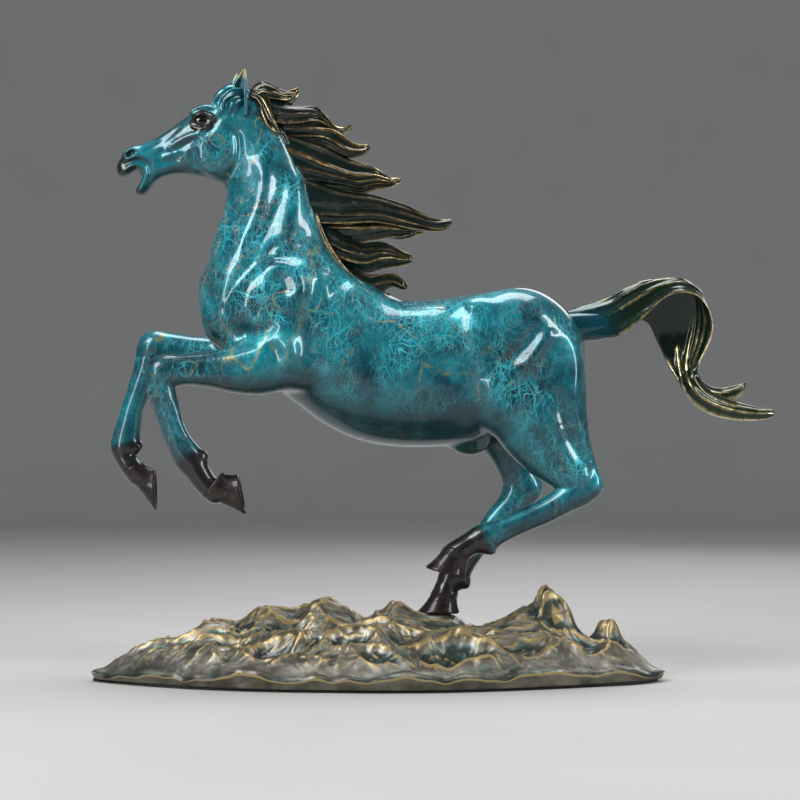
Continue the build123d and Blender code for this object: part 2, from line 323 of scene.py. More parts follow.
def keep(mesh, inside):
    """The part of a mesh where inside(vertices) < 0, closed with a flat cap where it is cut."""
    verts, tris, normals = mesh
    s = inside(verts)
    s = np.where(np.abs(s) < 1e-6, 1e-6, s)
    neg = s[tris] < 0
    n_in = neg.sum(1)
    out = [tris[n_in == 3]]
    edges, new_v, new_n = {}, [], []
    base = len(verts)

    def cut(i, j):
        key = (i, j) if i < j else (j, i)
        if key not in edges:
            a, b = key
            t = s[a] / (s[a] - s[b])
            edges[key] = base + len(new_v)
            new_v.append(verts[a] + t * (verts[b] - verts[a]))
            new_n.append(normals[a] + t * (normals[b] - normals[a]))
        return edges[key]
    extra, rim = [], []
    for tri, flags in zip(tris[(n_in > 0) & (n_in < 3)], neg[(n_in > 0) & (n_in < 3)]):
        k = int(np.argmax(flags)) if flags.sum() == 1 else int(np.argmin(flags))
        a, b, c = tri[k], tri[(k + 1) % 3], tri[(k + 2) % 3]
        p, q = cut(a, b), cut(a, c)
        if flags.sum() == 1:
            extra.append((a, p, q))
            rim.append((p, q))
        else:
            extra += [(p, b, c), (p, c, q)]
            rim.append((q, p))
    if new_v:
        verts, normals = np.vstack([verts, new_v]), np.vstack([normals, new_n])
        out.append(np.array(extra))
    tris = np.vstack(out)
    caps = []
    after = dict(rim)
    while after:
        start, nxt = after.popitem()
        loop = [start]
        while nxt in after and nxt != start:
            loop.append(nxt)
            nxt = after.pop(nxt)
        if len(loop) > 6 and nxt == start:
            caps.append(loop)
    for loop in caps:
        centre = verts[loop].mean(0)
        at = len(verts)
        p = verts[loop]
        facing = -np.cross(p - centre, np.roll(p, -1, 0) - centre).sum(0)
        facing = facing / np.linalg.norm(facing)
        verts = np.vstack([verts, p, centre])
        normals = np.vstack([normals, np.tile(facing, (len(loop) + 1, 1))])
        ids = at + np.arange(len(loop))
        fan = np.stack([np.roll(ids, -1), ids, np.full(len(loop), at + len(loop))], 1)
        tris = np.vstack([tris, fan])
    used = np.unique(tris)
    remap = np.zeros(len(verts), int)
    remap[used] = np.arange(len(used))
    return verts[used], remap[tris], normals[used]


def wedge(*planes):
    """A region bounded by planes (point x, y, z, outward normal x, y, z)."""
    def inside(v):
        parts = []
        for px, py, pz, nx, ny, nz in planes:
            n = np.array([nx, ny, nz], float)
            parts.append((v - (px, py, pz)) @ (n / np.linalg.norm(n)))
        return np.max(parts, 0)
    return inside


# ---- the horse ----------------------------------------------------------------------
# Trunk in slices along x: (x, bottom, top, half width).
TRUNK = [
    (-119, 258, 278, 9), (-113.5, 240, 294, 22), (-105, 229, 303, 30), (-85, 214, 306, 36),
    (-60, 196, 303, 40), (-38, 180, 292, 41), (-15, 169, 277, 43), (10, 164, 267, 44),
    (40, 163.5, 266.5, 44.5), (68, 167, 270.5, 43), (90, 178, 271.5, 41), (108, 188, 269.5, 38),
    (124, 197, 262, 33), (136, 207, 253, 26), (145, 218, 242, 12),
]
# Neck in slices along z: (z, throat side, crest side, half width).
NECK = [
    (234, -104, 14, 20), (252, -115, 10, 31), (268, -121.5, 3, 33.5), (286, -119.8, -17, 30),
    (308, -114.4, -32, 25.5), (330, -106.8, -40, 21.5), (347, -105, -45, 18.5), (360, -104, -51, 16.5),
    (375, -104, -58, 14.8), (390, -104, -67, 13.2), (402, -102, -76, 10.5), (408, -99, -82, 7),
]
# Head in side view (x, z), open at the mouth, and its (x, half width, edge rounding).
SKULL = [
    (-84, 400), (-89, 410), (-98, 410), (-108, 407), (-117, 403.6), (-126, 399.8), (-135, 393.3),
    (-143.8, 386.9), (-152.6, 380.8), (-160.6, 376.8), (-166.4, 374.6), (-171.4, 372.6), (-176, 369.2),
    (-180, 364.4), (-182, 360), (-182, 356), (-180.4, 352.8), (-177.5, 351.6), (-174, 352.6),
    (-170.6, 355), (-167.4, 355.8), (-165.4, 354.2), (-165, 351.4), (-166.2, 348), (-168.4, 344.6),
    (-169, 341.6), (-167, 339.1), (-163.4, 338.9), (-159.4, 342.6), (-155.6, 348), (-149, 352.2),
    (-141, 353.9), (-135.6, 354), (-123.9, 352.3), (-112.2, 348.6), (-104, 347), (-94, 352), (-84, 365),
    (-78, 385),
]
SKULL_HALVES = [
    (-182, 6.6, 4.5), (-178, 8, 5), (-172, 9.2, 6), (-166, 8.8, 6), (-158, 8, 7), (-150, 7.6, 9),
    (-142, 8.4, 10), (-134, 9.8, 12), (-126, 11.6, 13), (-118, 13, 14), (-108, 13.6, 15), (-98, 12.6, 15),
    (-88, 11, 15), (-78, 10, 15),
]
# Limbs: (x, z, radius in side view, y, half width).
LEFT_FORE = [
    (-62, 230, 24, -24, 18), (-78, 220, 20.5, -29, 15.5), (-95, 216.5, 16.5, -31, 13),
    (-113, 216.5, 12.7, -31.5, 11), (-131, 216.5, 10.9, -31.5, 9.6), (-143, 214.5, 11.3, -31.5, 9.8),
    (-148.6, 210.5, 10.2, -31.5, 9.6), (-148.3, 203, 10, -31.5, 8.8), (-144.5, 191, 8.9, -31.5, 7.4),
    (-141, 179, 8.2, -31.5, 6.9), (-135.8, 167, 8.6, -31.5, 7), (-128.8, 155.5, 10.2, -31, 8.2),
    (-124, 148, 8.7, -31, 7.8), (-118, 139, 8, -31, 8), (-111, 133, 8.5, -31, 8.6),
]
RIGHT_FORE = [
    (-70, 236, 22, 24, 18), (-90, 230, 18, 29, 15), (-110, 229, 12.6, 30, 11.5),
    (-130, 231.5, 10.6, 30.5, 10), (-149, 234, 10.6, 30.5, 9.8), (-158, 233.5, 11.6, 30.5, 9.8),
    (-162, 226, 10.5, 30.5, 9.4), (-165.5, 215, 9, 30.5, 8), (-170, 202, 8.4, 30.5, 7),
    (-174.5, 189, 8.1, 30.5, 6.9), (-177.3, 176, 9, 30.5, 7.2), (-179.3, 165, 10.3, 30.5, 8.2),
    (-179.6, 157.5, 8, 30.5, 7.6), (-176, 150, 7.2, 30, 8), (-170, 143, 8, 30, 8.6),
]
LEFT_HIND = [
    (98, 236, 36, -21, 21), (102, 213, 38.5, -25, 20), (110.5, 187, 33.5, -28, 17),
    (119, 168, 26.5, -29, 13.5), (129, 153, 19.5, -29, 10.8), (137.4, 142, 14.8, -29, 9.2),
    (139, 135.4, 12.6, -29, 8.8), (130, 128.2, 9.8, -29, 8.6), (115, 119.5, 8.5, -29, 7.6),
    (98, 112, 7.9, -29, 7), (84, 105.8, 8.5, -29, 7.2), (73, 100.7, 10.2, -28.5, 8.4),
    (65.5, 98, 8.2, -28, 7.8), (58, 93.5, 8.2, -28, 8.4), (52, 90, 8, -28, 8.6),
]
RIGHT_HIND = [
    (98, 232, 34, 21, 20), (99, 205, 34, 24, 18), (95, 178, 24.5, 27, 14), (97, 162, 17.5, 27.5, 11),
    (101, 145, 13.6, 28, 9.6), (103, 134.5, 13.4, 28, 9.2), (97, 123.6, 10.4, 28, 8.6),
    (86, 112.5, 8.2, 28, 7.4), (74.5, 97, 7.9, 27.5, 7), (63.5, 83, 8.4, 27, 7.2),
    (55, 71.5, 10.4, 26.5, 8.6), (50.5, 65, 8.3, 26.2, 8.2), (48, 60, 8.2, 26, 9), (47, 56, 8, 26, 9),
]


def shape_horse(c):
    """Models the whole horse, without mane, tail, ears or hooves, in a block of clay."""
    c.slab("x", TRUNK, k=8, box=1.12)
    c.slab("z", NECK, k=16, box=1.05)
    for stations, k in ((LEFT_HIND, 14), (RIGHT_HIND, 14), (LEFT_FORE, 10), (RIGHT_FORE, 10)):
        c.limb(stations, k=k)
    # shoulder, arm and chest
    c.ball((-66, 27, 268), (27, 15, 33), turn=-28, k=10, sides=2)
    c.ball((-86, 24, 262), (16, 15, 19), turn=20, k=7, sides=2)
    c.ball((-66, 31, 250), (20, 13, 22), turn=-40, k=7, sides=2)
    c.ball((-58, 31, 222), (15, 12, 20), turn=25, k=7, sides=2)
    c.ball((-108, 13, 252), (14, 13, 20), turn=10, k=6, sides=2)
    c.ball((-94, 16, 236), (13, 12, 12), k=6, sides=2)
    # hip, thigh, buttock and gaskin
    c.ball((68, 27, 248), (22, 13, 18), turn=15, k=9, sides=2)
    c.ball((88, 31, 199), (18, 13, 24), turn=-15, k=9, sides=2)
    c.ball((125, 25, 216), (15.5, 17, 34), turn=5, k=9, sides=2)
    c.ball((100, 27, 244), (24, 15, 20), turn=-20, k=9, sides=2)
    c.ball((66, 0, 166), (13, 8, 8.5), turn=8, k=8)
    # knees, fetlocks, hocks and ergots
    c.ball((-148, -31.5, 217), (10.5, 9.6, 9), turn=0, k=5)
    c.ball((-159, 30.5, 235.5), (10, 9.6, 9.5), turn=0, k=5)
    c.ball((149, -29, 137.5), (5.5, 5.5, 7), turn=20, k=6)
    c.ball((112, 28, 133), (5.5, 5.5, 7), turn=0, k=6)
    c.ball((-119.5, -31, 157), (3.2, 4.5, 4), turn=-35, k=4)
    c.ball((-170, 30, 163), (3.2, 4.5, 4), turn=-20, k=4)
    c.ball((77, -28.5, 93), (4.5, 4.5, 3.2), turn=-30, k=4)
    c.ball((63.5, 26.5, 66), (3.2, 4.5, 4), k=4)


def shape_muscles(c):
    """Presses the muscle borders into the flanks and raises the ridges between them."""
    s = c.stroke
    # neck: the long muscle from the jaw to the shoulder, and the furrows on each side of it
    s([(-83, 368), (-78, 350), (-82, 330), (-91, 310), (-97, 294)], 6, -2.6, inner=4, outer=11)
    s([(-68, 358), (-68, 340), (-73, 322), (-80, 303), (-86, 290)], 5.5, 2.3, inner=4, outer=11)
    s([(-57, 352), (-56, 332), (-62, 312), (-72, 294)], 6.5, -1.5, inner=3, outer=10)
    s([(-98, 352), (-96, 335), (-104, 312), (-111, 292), (-113, 274)], 6, 1.6, inner=3, outer=10)
    s([(-52, 372), (-44, 345), (-36, 318), (-24, 292), (-4, 275)], 4.5, 1.8, inner=2, outer=7)
    # shoulder
    s([(-104, 250), (-100, 266), (-88, 284), (-68, 294), (-46, 291), (-28, 277)], 5.5, 2.4, inner=8,
      outer=18)
    s([(-82, 282), (-70, 288), (-58, 284), (-52, 272), (-56, 262)], 4.5, -2, inner=8, outer=18)
    s([(-72, 279), (-66, 274), (-64, 266)], 6, 2.8, inner=8, outer=18)
    s([(-86, 262), (-78, 256), (-66, 254), (-56, 250)], 5, 1.7, inner=8, outer=18)
    s([(-40, 284), (-42, 266), (-47, 248), (-49, 232), (-55, 214), (-59, 200)], 6.5, 2.3, inner=8, outer=18)
    s([(-22, 281), (-28, 270), (-38, 256)], 5, 1.3, inner=8, outer=18)
    s([(-30, 288), (-35, 275), (-37, 262), (-44, 250)], 4.5, -1.6, inner=8, outer=18)
    s([(-97, 246), (-86, 241), (-76, 243), (-68, 250)], 5.5, 2.8, inner=6, outer=16)
    s([(-66, 242), (-58, 228), (-58, 212), (-62, 203)], 5, -2, inner=8, outer=18)
    s([(-72, 236), (-70, 222), (-72, 208)], 4.5, 1.8, inner=8, outer=18)
    s([(-78, 224), (-96, 218), (-116, 217), (-134, 214)], 4, 1, inner=20, outer=34)
    # flank, hip and thigh
    s([(60, 262), (54, 240), (58, 216), (68, 192)], 9, 2.6, inner=10, outer=26)
    s([(112, 250), (103, 236), (94, 226), (84, 221)], 6, 3.2, inner=8, outer=22)
    s([(120, 246), (110, 231), (99, 219)], 5, -2, inner=8, outer=22)
    s([(121, 240), (116, 222), (112, 206), (114, 190)], 5.5, 2.2, inner=8, outer=22)
    s([(108, 214), (99, 208), (92, 200)], 5.5, 2, inner=8, outer=22)
    s([(76, 212), (77, 198), (84, 182)], 5, -1.8, inner=8, outer=22)
    s([(132, 246), (137, 222), (135, 196), (140, 172), (150, 150)], 4.5, -1.8, inner=8, outer=22)
    s([(124, 206), (126, 186), (133, 166), (143, 150)], 4.5, 1.6, inner=8, outer=22)
    s([(104, 178), (114, 160), (126, 146)], 4.5, 1.4, inner=18, outer=30)
    s([(60, 258), (70, 262), (82, 259)], 5, -1.8, inner=8, outer=20)
    # belly line, ribs and sheath fold
    s([(-48, 196), (-20, 180), (12, 174), (44, 176), (66, 186)], 7, 1.2, inner=4, outer=14)
    s([(-30, 240), (-22, 220), (-18, 200)], 6, 0.9, inner=14, outer=34)
    s([(-10, 244), (-3, 222), (2, 200)], 6, 0.8, inner=14, outer=34)
    s([(12, 244), (18, 222), (22, 200)], 6, 0.7, inner=14, outer=34)
    # tendons of the cannons
    s([(-152, 198), (-147, 180), (-140, 164)], 2.2, 0.7, side=-1, inner=30, outer=36)
    s([(-143, 196), (-137, 178), (-131, 166)], 2.4, 0.9, side=-1, inner=30, outer=36)
    s([(-166, 208), (-171, 190), (-172, 172)], 2.4, 0.9, side=1, inner=30, outer=36)
    s([(124, 121), (104, 111), (84, 101.5)], 2.4, 1.0, side=-1, inner=28, outer=34)
    s([(94, 118), (82, 101), (68, 84)], 2.4, 0.9, side=1, inner=28, outer=34)
    s([(146, 152), (147, 142), (138, 132)], 3.2, 1.2, side=-1, inner=26, outer=34)
    s([(110, 154), (109, 143), (102, 134)], 3.2, 1.2, side=1, inner=26, outer=34)


def shape_head(c):
    """Models the head with its jaws, nostrils and eye sockets."""
    c.profile(SKULL, SKULL_HALVES, k=5)
    # cheeks, brows, nostril wings
    c.ball((-112, 8.5, 371), (15.5, 6.5, 17.5), turn=0, k=4, sides=2)
    c.ball((-123, 9.2, 397), (8, 3.6, 3.2), turn=20, k=3.5, sides=2)
    c.ball((-171, 5.4, 367), (6.5, 3.8, 4.6), turn=30, k=3, sides=2)
    # nostrils and lips
    c.ball((-171.6, 8.8, 367.8), (4.0, 3.0, 2.2), turn=35, k=1.4, sides=2, carve=True)
    c.stroke([(-177.5, 365.4), (-175, 369.6), (-170, 371.4), (-166, 368.6)], 1.4, -0.9, inner=2, outer=5)
    c.stroke([(-177.5, 364), (-172, 364), (-166.5, 366.8)], 1.4, -0.7, inner=2, outer=5)
    lips = [(-179.4, 355), (-175.4, 355.8), (-171.2, 358.6), (-166.4, 359.4), (-162.2, 356.4),
            (-161.6, 351.4), (-163.4, 347), (-165.6, 342.6)]
    c.stroke(lips, 1.5, -1.3, inner=2, outer=5)
    c.stroke([(-180, 359.6), (-174, 361), (-167, 363), (-160, 360.6), (-158, 354), (-160, 348)], 1.4, 1.3,
             inner=2, outer=5)
    c.stroke([(-171, 365.4), (-163, 366), (-156.4, 361), (-155.4, 353.6)], 1.6, -0.8, inner=2, outer=5)
    # eye sockets and lids
    c.ball((-122, 16.4, 390.2), (7.2, 5.2, 4.4), turn=14, k=2, sides=2, carve=True)
    c.stroke([(-130.4, 387.4), (-127.4, 392.4), (-122, 394.8), (-116.4, 393.2), (-112.6, 389.4)], 1.05,
             -1.3, inner=5, outer=9)
    c.stroke([(-130, 386.8), (-125.6, 385), (-120.2, 384.8), (-115.4, 386.8)], 1.0, -0.9, inner=5, outer=9)
    c.stroke([(-132.4, 389), (-128.4, 395.4), (-121.4, 398), (-114, 396)], 1.2, 0.9, inner=5, outer=9)
    c.stroke([(-133, 392), (-128, 398.4), (-120, 400.6), (-112, 398)], 1.6, -0.8, inner=5, outer=9)
    c.stroke([(-131, 384.4), (-125, 381.8), (-118, 381.6), (-112.6, 384.6)], 1.4, 0.6, inner=5, outer=9)
    # bones and veins of the face
    c.stroke([(-119, 382.6), (-128, 380.6), (-137, 376.5), (-146, 371.5)], 2.4, -1.7, inner=3, outer=8)
    c.stroke([(-122, 377.5), (-132, 374.5), (-141, 369)], 2.4, 1.1, inner=3, outer=8)
    c.stroke([(-131, 394), (-141, 383.5), (-152, 375), (-162, 370)], 2.2, 0.9, inner=2.5, outer=7)
    c.stroke([(-135, 371), (-144, 366.5), (-151, 364.6)], 2.0, -0.9, inner=3, outer=8)
    c.stroke([(-136, 364), (-146, 361.5), (-152, 361)], 2.2, 0.8, inner=3, outer=8)
    c.stroke([(-127, 372), (-127.5, 363), (-122, 354)], 2.4, 1.5, inner=3, outer=9)
    c.stroke([(-99, 386), (-96.5, 374), (-98, 360), (-104, 351)], 3.0, 1.8, inner=3, outer=9)
    c.stroke([(-112, 352), (-120, 355.5), (-130, 358)], 2.4, -0.7, inner=3, outer=9)
    c.stroke([(-104, 395), (-111, 391), (-116, 385)], 2.6, 1.0, inner=4, outer=9)


def model(low, high, step, head=False):
    """A block of the horse's surface."""
    clay = Clay(low, high, step * (1))
    shape_horse(clay)
    if head:
        shape_head(clay)
    shape_muscles(clay)
    clay.blur()
    return clay.skin()


# Where the castings are welded together, each as (point, outward normal).
NECK_WELD = (-70, 0, 288, 0.06, 0, 1.0)
HEAD_WELD = (-90, 0, 372, -0.93, 0, 0.36)
LEFT_FORE_WELD = (-92, -20, 226, -0.74, 0, -0.67)
RIGHT_FORE_WELD = (-98, 20, 236, -0.78, 0, -0.62)
HIND_WELD = (100, 0, 204, 0, 0, -1.0)


def flipped(plane):
    """The same plane facing the other way."""
    return plane[:3] + tuple(-n for n in plane[3:])


def without(*regions):
    """Everything that is outside all these regions."""
    return lambda v: np.max([-r(v) for r in regions], 0)


def both(*regions):
    """What lies inside all these regions."""
    return lambda v: np.max([r(v) for r in regions], 0)


# ---- grooved ribbons: mane, forelock and tail ---------------------------------------
def spread(points, count):
    """A polyline of 2-D or 3-D points, smoothed and sampled evenly along its length."""
    fine = curve_through(points, 40 * len(points))
    run = np.concatenate([[0], np.cumsum(np.linalg.norm(np.diff(fine, axis=0), axis=1))])
    s = np.linspace(0, run[-1], count)
    return np.stack([np.interp(s, run, fine[:, i]) for i in range(fine.shape[1])], 1)


def ribbon(edge_a, middle, edge_b, thick, flutes, depth, phase, inner_smooth=False, sway=0.0):
    """A closed grooved ribbon between two edges, bulging through its middle line.

    thick is a list of full thicknesses along it and flutes the number of hair strands across.
    Returns vertices, faces, how much of a ridge each vertex is and how far along it lies.
    """
    step = 1.0
    a, m, b = (np.array(p, float) for p in (edge_a, middle, edge_b))
    length = np.linalg.norm(np.diff(m, axis=0), axis=1).sum()
    nu = int(length / (0.9 * step)) + 12
    nv = int(max(18, flutes * 9) / step)
    u = np.linspace(0, 1, nu)
    pa, pm, pb = spread(a, nu), spread(m, nu), spread(b, nu)
    t = np.interp(u, np.linspace(0, 1, len(thick)), thick)
    t = t * np.clip((1 - u) / 0.06, 0.02, 1) ** 0.5
    v = -np.cos(np.linspace(0, np.pi, nv))
    v = 0.55 * v + 0.45 * np.linspace(-1, 1, nv)
    vv, uu = np.meshgrid(v, u)
    wa, wb = (1 - vv) / 2, (1 + vv) / 2
    mid = (pa + pb) / 2
    face = (pa[:, None] * wa[..., None] + pb[:, None] * wb[..., None]
            + (pm - mid)[:, None] * (1 - vv ** 2)[..., None])
    du, dv = np.gradient(face, axis=0), np.gradient(face, axis=1)
    normal = np.cross(du, dv)
    normal /= np.linalg.norm(normal, axis=2)[..., None] + 1e-9
    if normal[..., 1].mean() > 0:
        normal = -normal
    across = (vv + 1) / 2
    across = (across + 0.045 * np.sin(across * 9 + phase * 17)
              + sway * np.sin(uu * 5 + across * 4 + phase * 9) * (1 - vv ** 2))
    strand = across * flutes + phase
    saw = np.abs(strand % 1 - 0.5) * 2
    proud = 0.65 + 0.7 * np.abs(np.sin(np.round(strand) * 2.4 + phase * 5))
    big = saw ** 2.0 * proud
    small = (np.abs((strand * 2.7 + uu * 1.6) % 1 - 0.5) * 2) ** 1.5
    grow = np.clip(uu * 5, 0, 1) * np.clip((1 - uu) * 6, 0.25, 1)
    ridge = big * 0.8 + 0.2 * small
    lens = np.sqrt(np.clip(1 - vv ** 2, 0, 1)) ** 0.75
    h = t[:, None] / 2 * lens
    proud_by = depth * (ridge - 0.55) * grow * np.clip(lens * 1.6, 0, 1)
    calm = np.ones_like(vv)
    if inner_smooth:
        calm -= np.clip(0.9 + vv * 1.6, 0, 0.92) * np.clip((0.85 - uu) / 0.15, 0, 1)
    near = face + normal * (h + proud_by * calm)[..., None]
    far = face - normal * (h + proud_by)[..., None]
    loop = np.concatenate([near, far[:, -2:0:-1]], axis=1)
    ridges = np.concatenate([ridge * calm, ridge[:, -2:0:-1]], axis=1)
    round_v = np.concatenate([vv, vv[:, -2:0:-1]], axis=1)
    edge = np.abs(round_v) ** 14 * np.clip(u * 4, 0, 1)[:, None]
    if inner_smooth:
        edge = edge * np.where(round_v > 0, 0.45, 1)
    along = np.repeat(u[:, None], loop.shape[1], 1)
    n = loop.shape[1]
    ids = np.arange(nu * n).reshape(nu, n)
    verts = loop.reshape(-1, 3)
    verts = np.vstack([verts, loop[0].mean(0), loop[-1].mean(0)])
    end_a, end_b = len(verts) - 2, len(verts) - 1
    first, last = ids[0], ids[-1]
    faces = [tuple(f) for f in strip(ids)]
    faces += [(end_a, int(np.roll(first, -1)[i]), int(first[i])) for i in range(n)]
    faces += [(end_b, int(last[i]), int(np.roll(last, -1)[i])) for i in range(n)]
    ridge_all = np.concatenate([np.maximum(ridges, edge).ravel(), [0, 1]])
    along_all = np.concatenate([along.ravel(), [0, 1]])
    return verts, faces, ridge_all, along_all


def lock(top, bottom, y, bulge, thick, flutes, depth, phase, sway=0.05):
    """A lock of the mane from its top and bottom edges (x, z) and the y of its middle along it."""
    n = 14
    a, b = spread(top, n), spread(bottom, n)
    ys = np.interp(np.linspace(0, 1, n), np.linspace(0, 1, len(y)), y)
    a, b = (np.stack([p[:, 0], ys, p[:, 1]], 1) for p in (a, b))
    middle = (a + b) / 2
    middle[:, 1] -= bulge * np.sin(np.linspace(0.2, 1, n) * np.pi)
    middle[:, 1] += 2.6 * np.sin(np.linspace(0, 2.3, n) * np.pi + phase * 12) * np.linspace(0.2, 1, n)
    return ribbon(a, middle, b, thick, flutes, depth, phase, sway=sway)


MANE = {
    "mane_lock_1_poll": [
        dict(top=[(-93, 407), (-88.5, 413), (-81.5, 418.3), (-71.4, 414.8), (-63, 412.6), (-55, 415)],
             bottom=[(-92, 398), (-84, 401), (-76, 404.5), (-69, 402.5), (-60.5, 401.6), (-54.6, 411.6)],
             y=[-1, -3, -5, -4, -2], bulge=3, thick=[9, 8, 6, 4.5, 3.2], flutes=4, depth=1.5, phase=0.1),
        dict(top=[(-89, 411), (-83, 412.5), (-76.6, 407.6), (-72.6, 398), (-70.6, 389.6), (-65.4, 381.4)],
             bottom=[(-90, 403), (-86.4, 403.6), (-83.6, 399), (-81.6, 392.4), (-77.4, 386.4),
                     (-69.6, 380)],
             y=[-7, -10.5, -12.5, -13.5, -12], bulge=-1.2, thick=[6, 6, 5.5, 5, 4.5], flutes=2, depth=1.6,
             phase=0.5),
    ],
    "mane_lock_2": [
        dict(top=[(-84, 408), (-75, 406.6), (-69, 402.6), (-57.9, 400), (-44.5, 401.3), (-37.5, 396.5),
                  (-30.1, 387.9), (-25, 385.9), (-17.9, 388.5)],
             bottom=[(-80, 384), (-69.4, 386), (-53.8, 386), (-40.6, 385.4), (-29.4, 381.9), (-24, 381.5),
                     (-17.4, 385.3)],
             y=[-3, -6, -8, -6, -7, -9], bulge=1.5, thick=[15, 12, 9, 6.5, 4.2, 3.6], flutes=4, depth=2.2,
             phase=0.2),
    ],
    "mane_lock_3": [
        dict(top=[(-80, 392), (-71.4, 389.1), (-52.8, 388), (-40.6, 387), (-30.1, 384.2), (-22, 377.2),
                  (-14.7, 373.7), (-5.6, 375)],
             bottom=[(-70, 368), (-62.1, 371.5), (-48.7, 373), (-34.3, 372.6), (-24, 366), (-15.8, 364.9),
                     (-7.7, 368.2), (-5, 371.8)],
             y=[1, -1, -4, -7, -8, -6], bulge=2, thick=[15, 12, 9, 6.5, 4.5, 3.6], flutes=3, depth=2.2,
             phase=0.45),
    ],
    "mane_lock_4": [
        dict(top=[(-76, 391), (-66.1, 385.9), (-42.7, 376.5), (-24, 366), (-13.8, 361.8), (-3.5, 359.4),
                  (3.7, 354.6), (9.8, 351.4), (16.5, 351.3)],
             bottom=[(-52, 340), (-43.6, 342), (-33.3, 342), (-24, 341), (-8.6, 339.5), (-3.6, 342),
                     (4.2, 344), (10.9, 345.2), (16.8, 348.3)],
             y=[-2, -5, -8, -8, -5, -3], bulge=2, thick=[16, 13, 10, 7, 5, 3.8], flutes=5, depth=2.3,
             phase=0.0),
    ],
    "mane_lock_5": [
        dict(top=[(-66, 386), (-52, 357), (-43, 332.5), (-34.6, 308), (-20.5, 287.5), (-4, 275.5),
                  (9, 270)],
             bottom=[(-69.4, 384.4), (-55.4, 355.4), (-46.4, 330.8), (-37.8, 305.6), (-23.2, 284.6),
                     (-6, 272.4), (8, 267)],
             y=[-8, -8.5, -9, -9.5, -10, -9.5, -8], bulge=0.6, thick=[4.4, 4.4, 4.2, 4, 3.6, 3], flutes=1,
             depth=0.7, phase=0.5),
        dict(top=[(-60, 357), (-46.6, 352), (-25, 342.5), (-3.5, 339), (8.8, 336), (21, 331.8),
                  (32.4, 325.8), (39.6, 322), (51.9, 322.6)],
             bottom=[(-50, 314), (-40.5, 316.5), (-22.4, 317.2), (-3.5, 318), (9.8, 316.1), (22.2, 314.1),
                     (33.5, 313.9), (43.8, 314.6), (52.3, 318.9)],
             y=[-2, -5, -9, -9, -7, -4, -3], bulge=2, thick=[16, 13, 10, 8, 5.5, 3.8], flutes=4, depth=2.4,
             phase=0.3),
        dict(top=[(-50, 326), (-39.4, 325.3), (-22, 323.8), (-8.6, 321.9), (9.8, 322.3), (23.1, 317.8),
                  (32.4, 315.3)],
             bottom=[(-42, 302), (-33.4, 305), (-24, 304), (-13.8, 304.5), (-3.5, 307.6), (6.8, 308.9),
                     (19.1, 308.7), (32.7, 313.7)],
             y=[2, 0, -2, -3, -3, -1], bulge=2, thick=[14, 12, 10, 8, 6, 4], flutes=3, depth=2.2,
             phase=0.6),
    ],
    "mane_lock_6": [
        dict(top=[(-48, 324), (-36.4, 319.6), (-24, 311.5), (-11.7, 305.5), (-0.4, 306.9), (9.8, 304.9),
                  (16, 300.9), (24.2, 297.4)],
             bottom=[(-38, 290), (-29.2, 293), (-20, 289), (-8.6, 285.3), (-3.5, 285.8), (6.8, 288.2),
                     (17, 289.3), (24.7, 292.4)],
             y=[-1, -4, -6, -6, -5, -4], bulge=2, thick=[15, 12, 10, 8, 6, 4.4], flutes=4, depth=2.2,
             phase=0.15),
    ],
    "mane_lock_7_withers": [
        dict(top=[(-43, 308), (-32.2, 303.5), (-17.9, 291), (-7.7, 284.6), (1.6, 284.5), (13, 283.3),
                  (18.1, 279.4), (21.2, 275.8)],
             bottom=[(-34, 286), (-24, 284), (-11.7, 274.8), (-0.4, 269.4), (5.7, 273.6), (13, 275.4),
                     (18, 273), (20.6, 273.8)],
             y=[-1, -3, -4, -4, -3, -3], bulge=1.5, thick=[13, 10, 8, 6.5, 5, 4], flutes=3, depth=1.4,
             phase=0.4),
    ],
    "forelock": [
        dict(top=[(-88, 412), (-97, 415.5), (-106, 414.5), (-113, 409.5), (-115.4, 403.5)],
             bottom=[(-90, 404), (-98, 407), (-104.5, 406.5), (-109, 403), (-112.5, 400)],
             y=[0, -1, -2, -3, -3.5], bulge=3, thick=[9, 9, 8, 6, 3], flutes=3, depth=1.5, phase=0.0),
        dict(top=[(-89, 411), (-99, 413), (-108, 409), (-111.4, 402), (-108, 395.4)],
             bottom=[(-90, 403), (-98, 405), (-103, 402), (-105, 397.6), (-105, 393.4)],
             y=[-4, -6.5, -8.5, -10, -11.2], bulge=2, thick=[7, 7, 6, 5, 2.4], flutes=3, depth=1.3,
             phase=0.3),
        dict(top=[(-90, 407), (-97, 408), (-103, 404), (-105, 398), (-102.5, 392)],
             bottom=[(-91, 399), (-95, 400), (-98, 397.6), (-99.6, 394), (-100, 390.4)],
             y=[-8, -10.5, -11.6, -12.4, -12.6], bulge=1.2, thick=[5, 5, 4.6, 4, 2], flutes=2, depth=1.0,
             phase=0.1),
        dict(top=[(-89, 411), (-99, 413), (-108, 409), (-112, 403), (-111, 397)],
             bottom=[(-90, 403), (-98, 405), (-103, 402), (-106, 399), (-108, 394.6)],
             y=[4, 6, 8, 9.5, 10.2], bulge=-2, thick=[7, 7, 6, 5, 2.4], flutes=3, depth=1.3, phase=0.6),
    ],
}

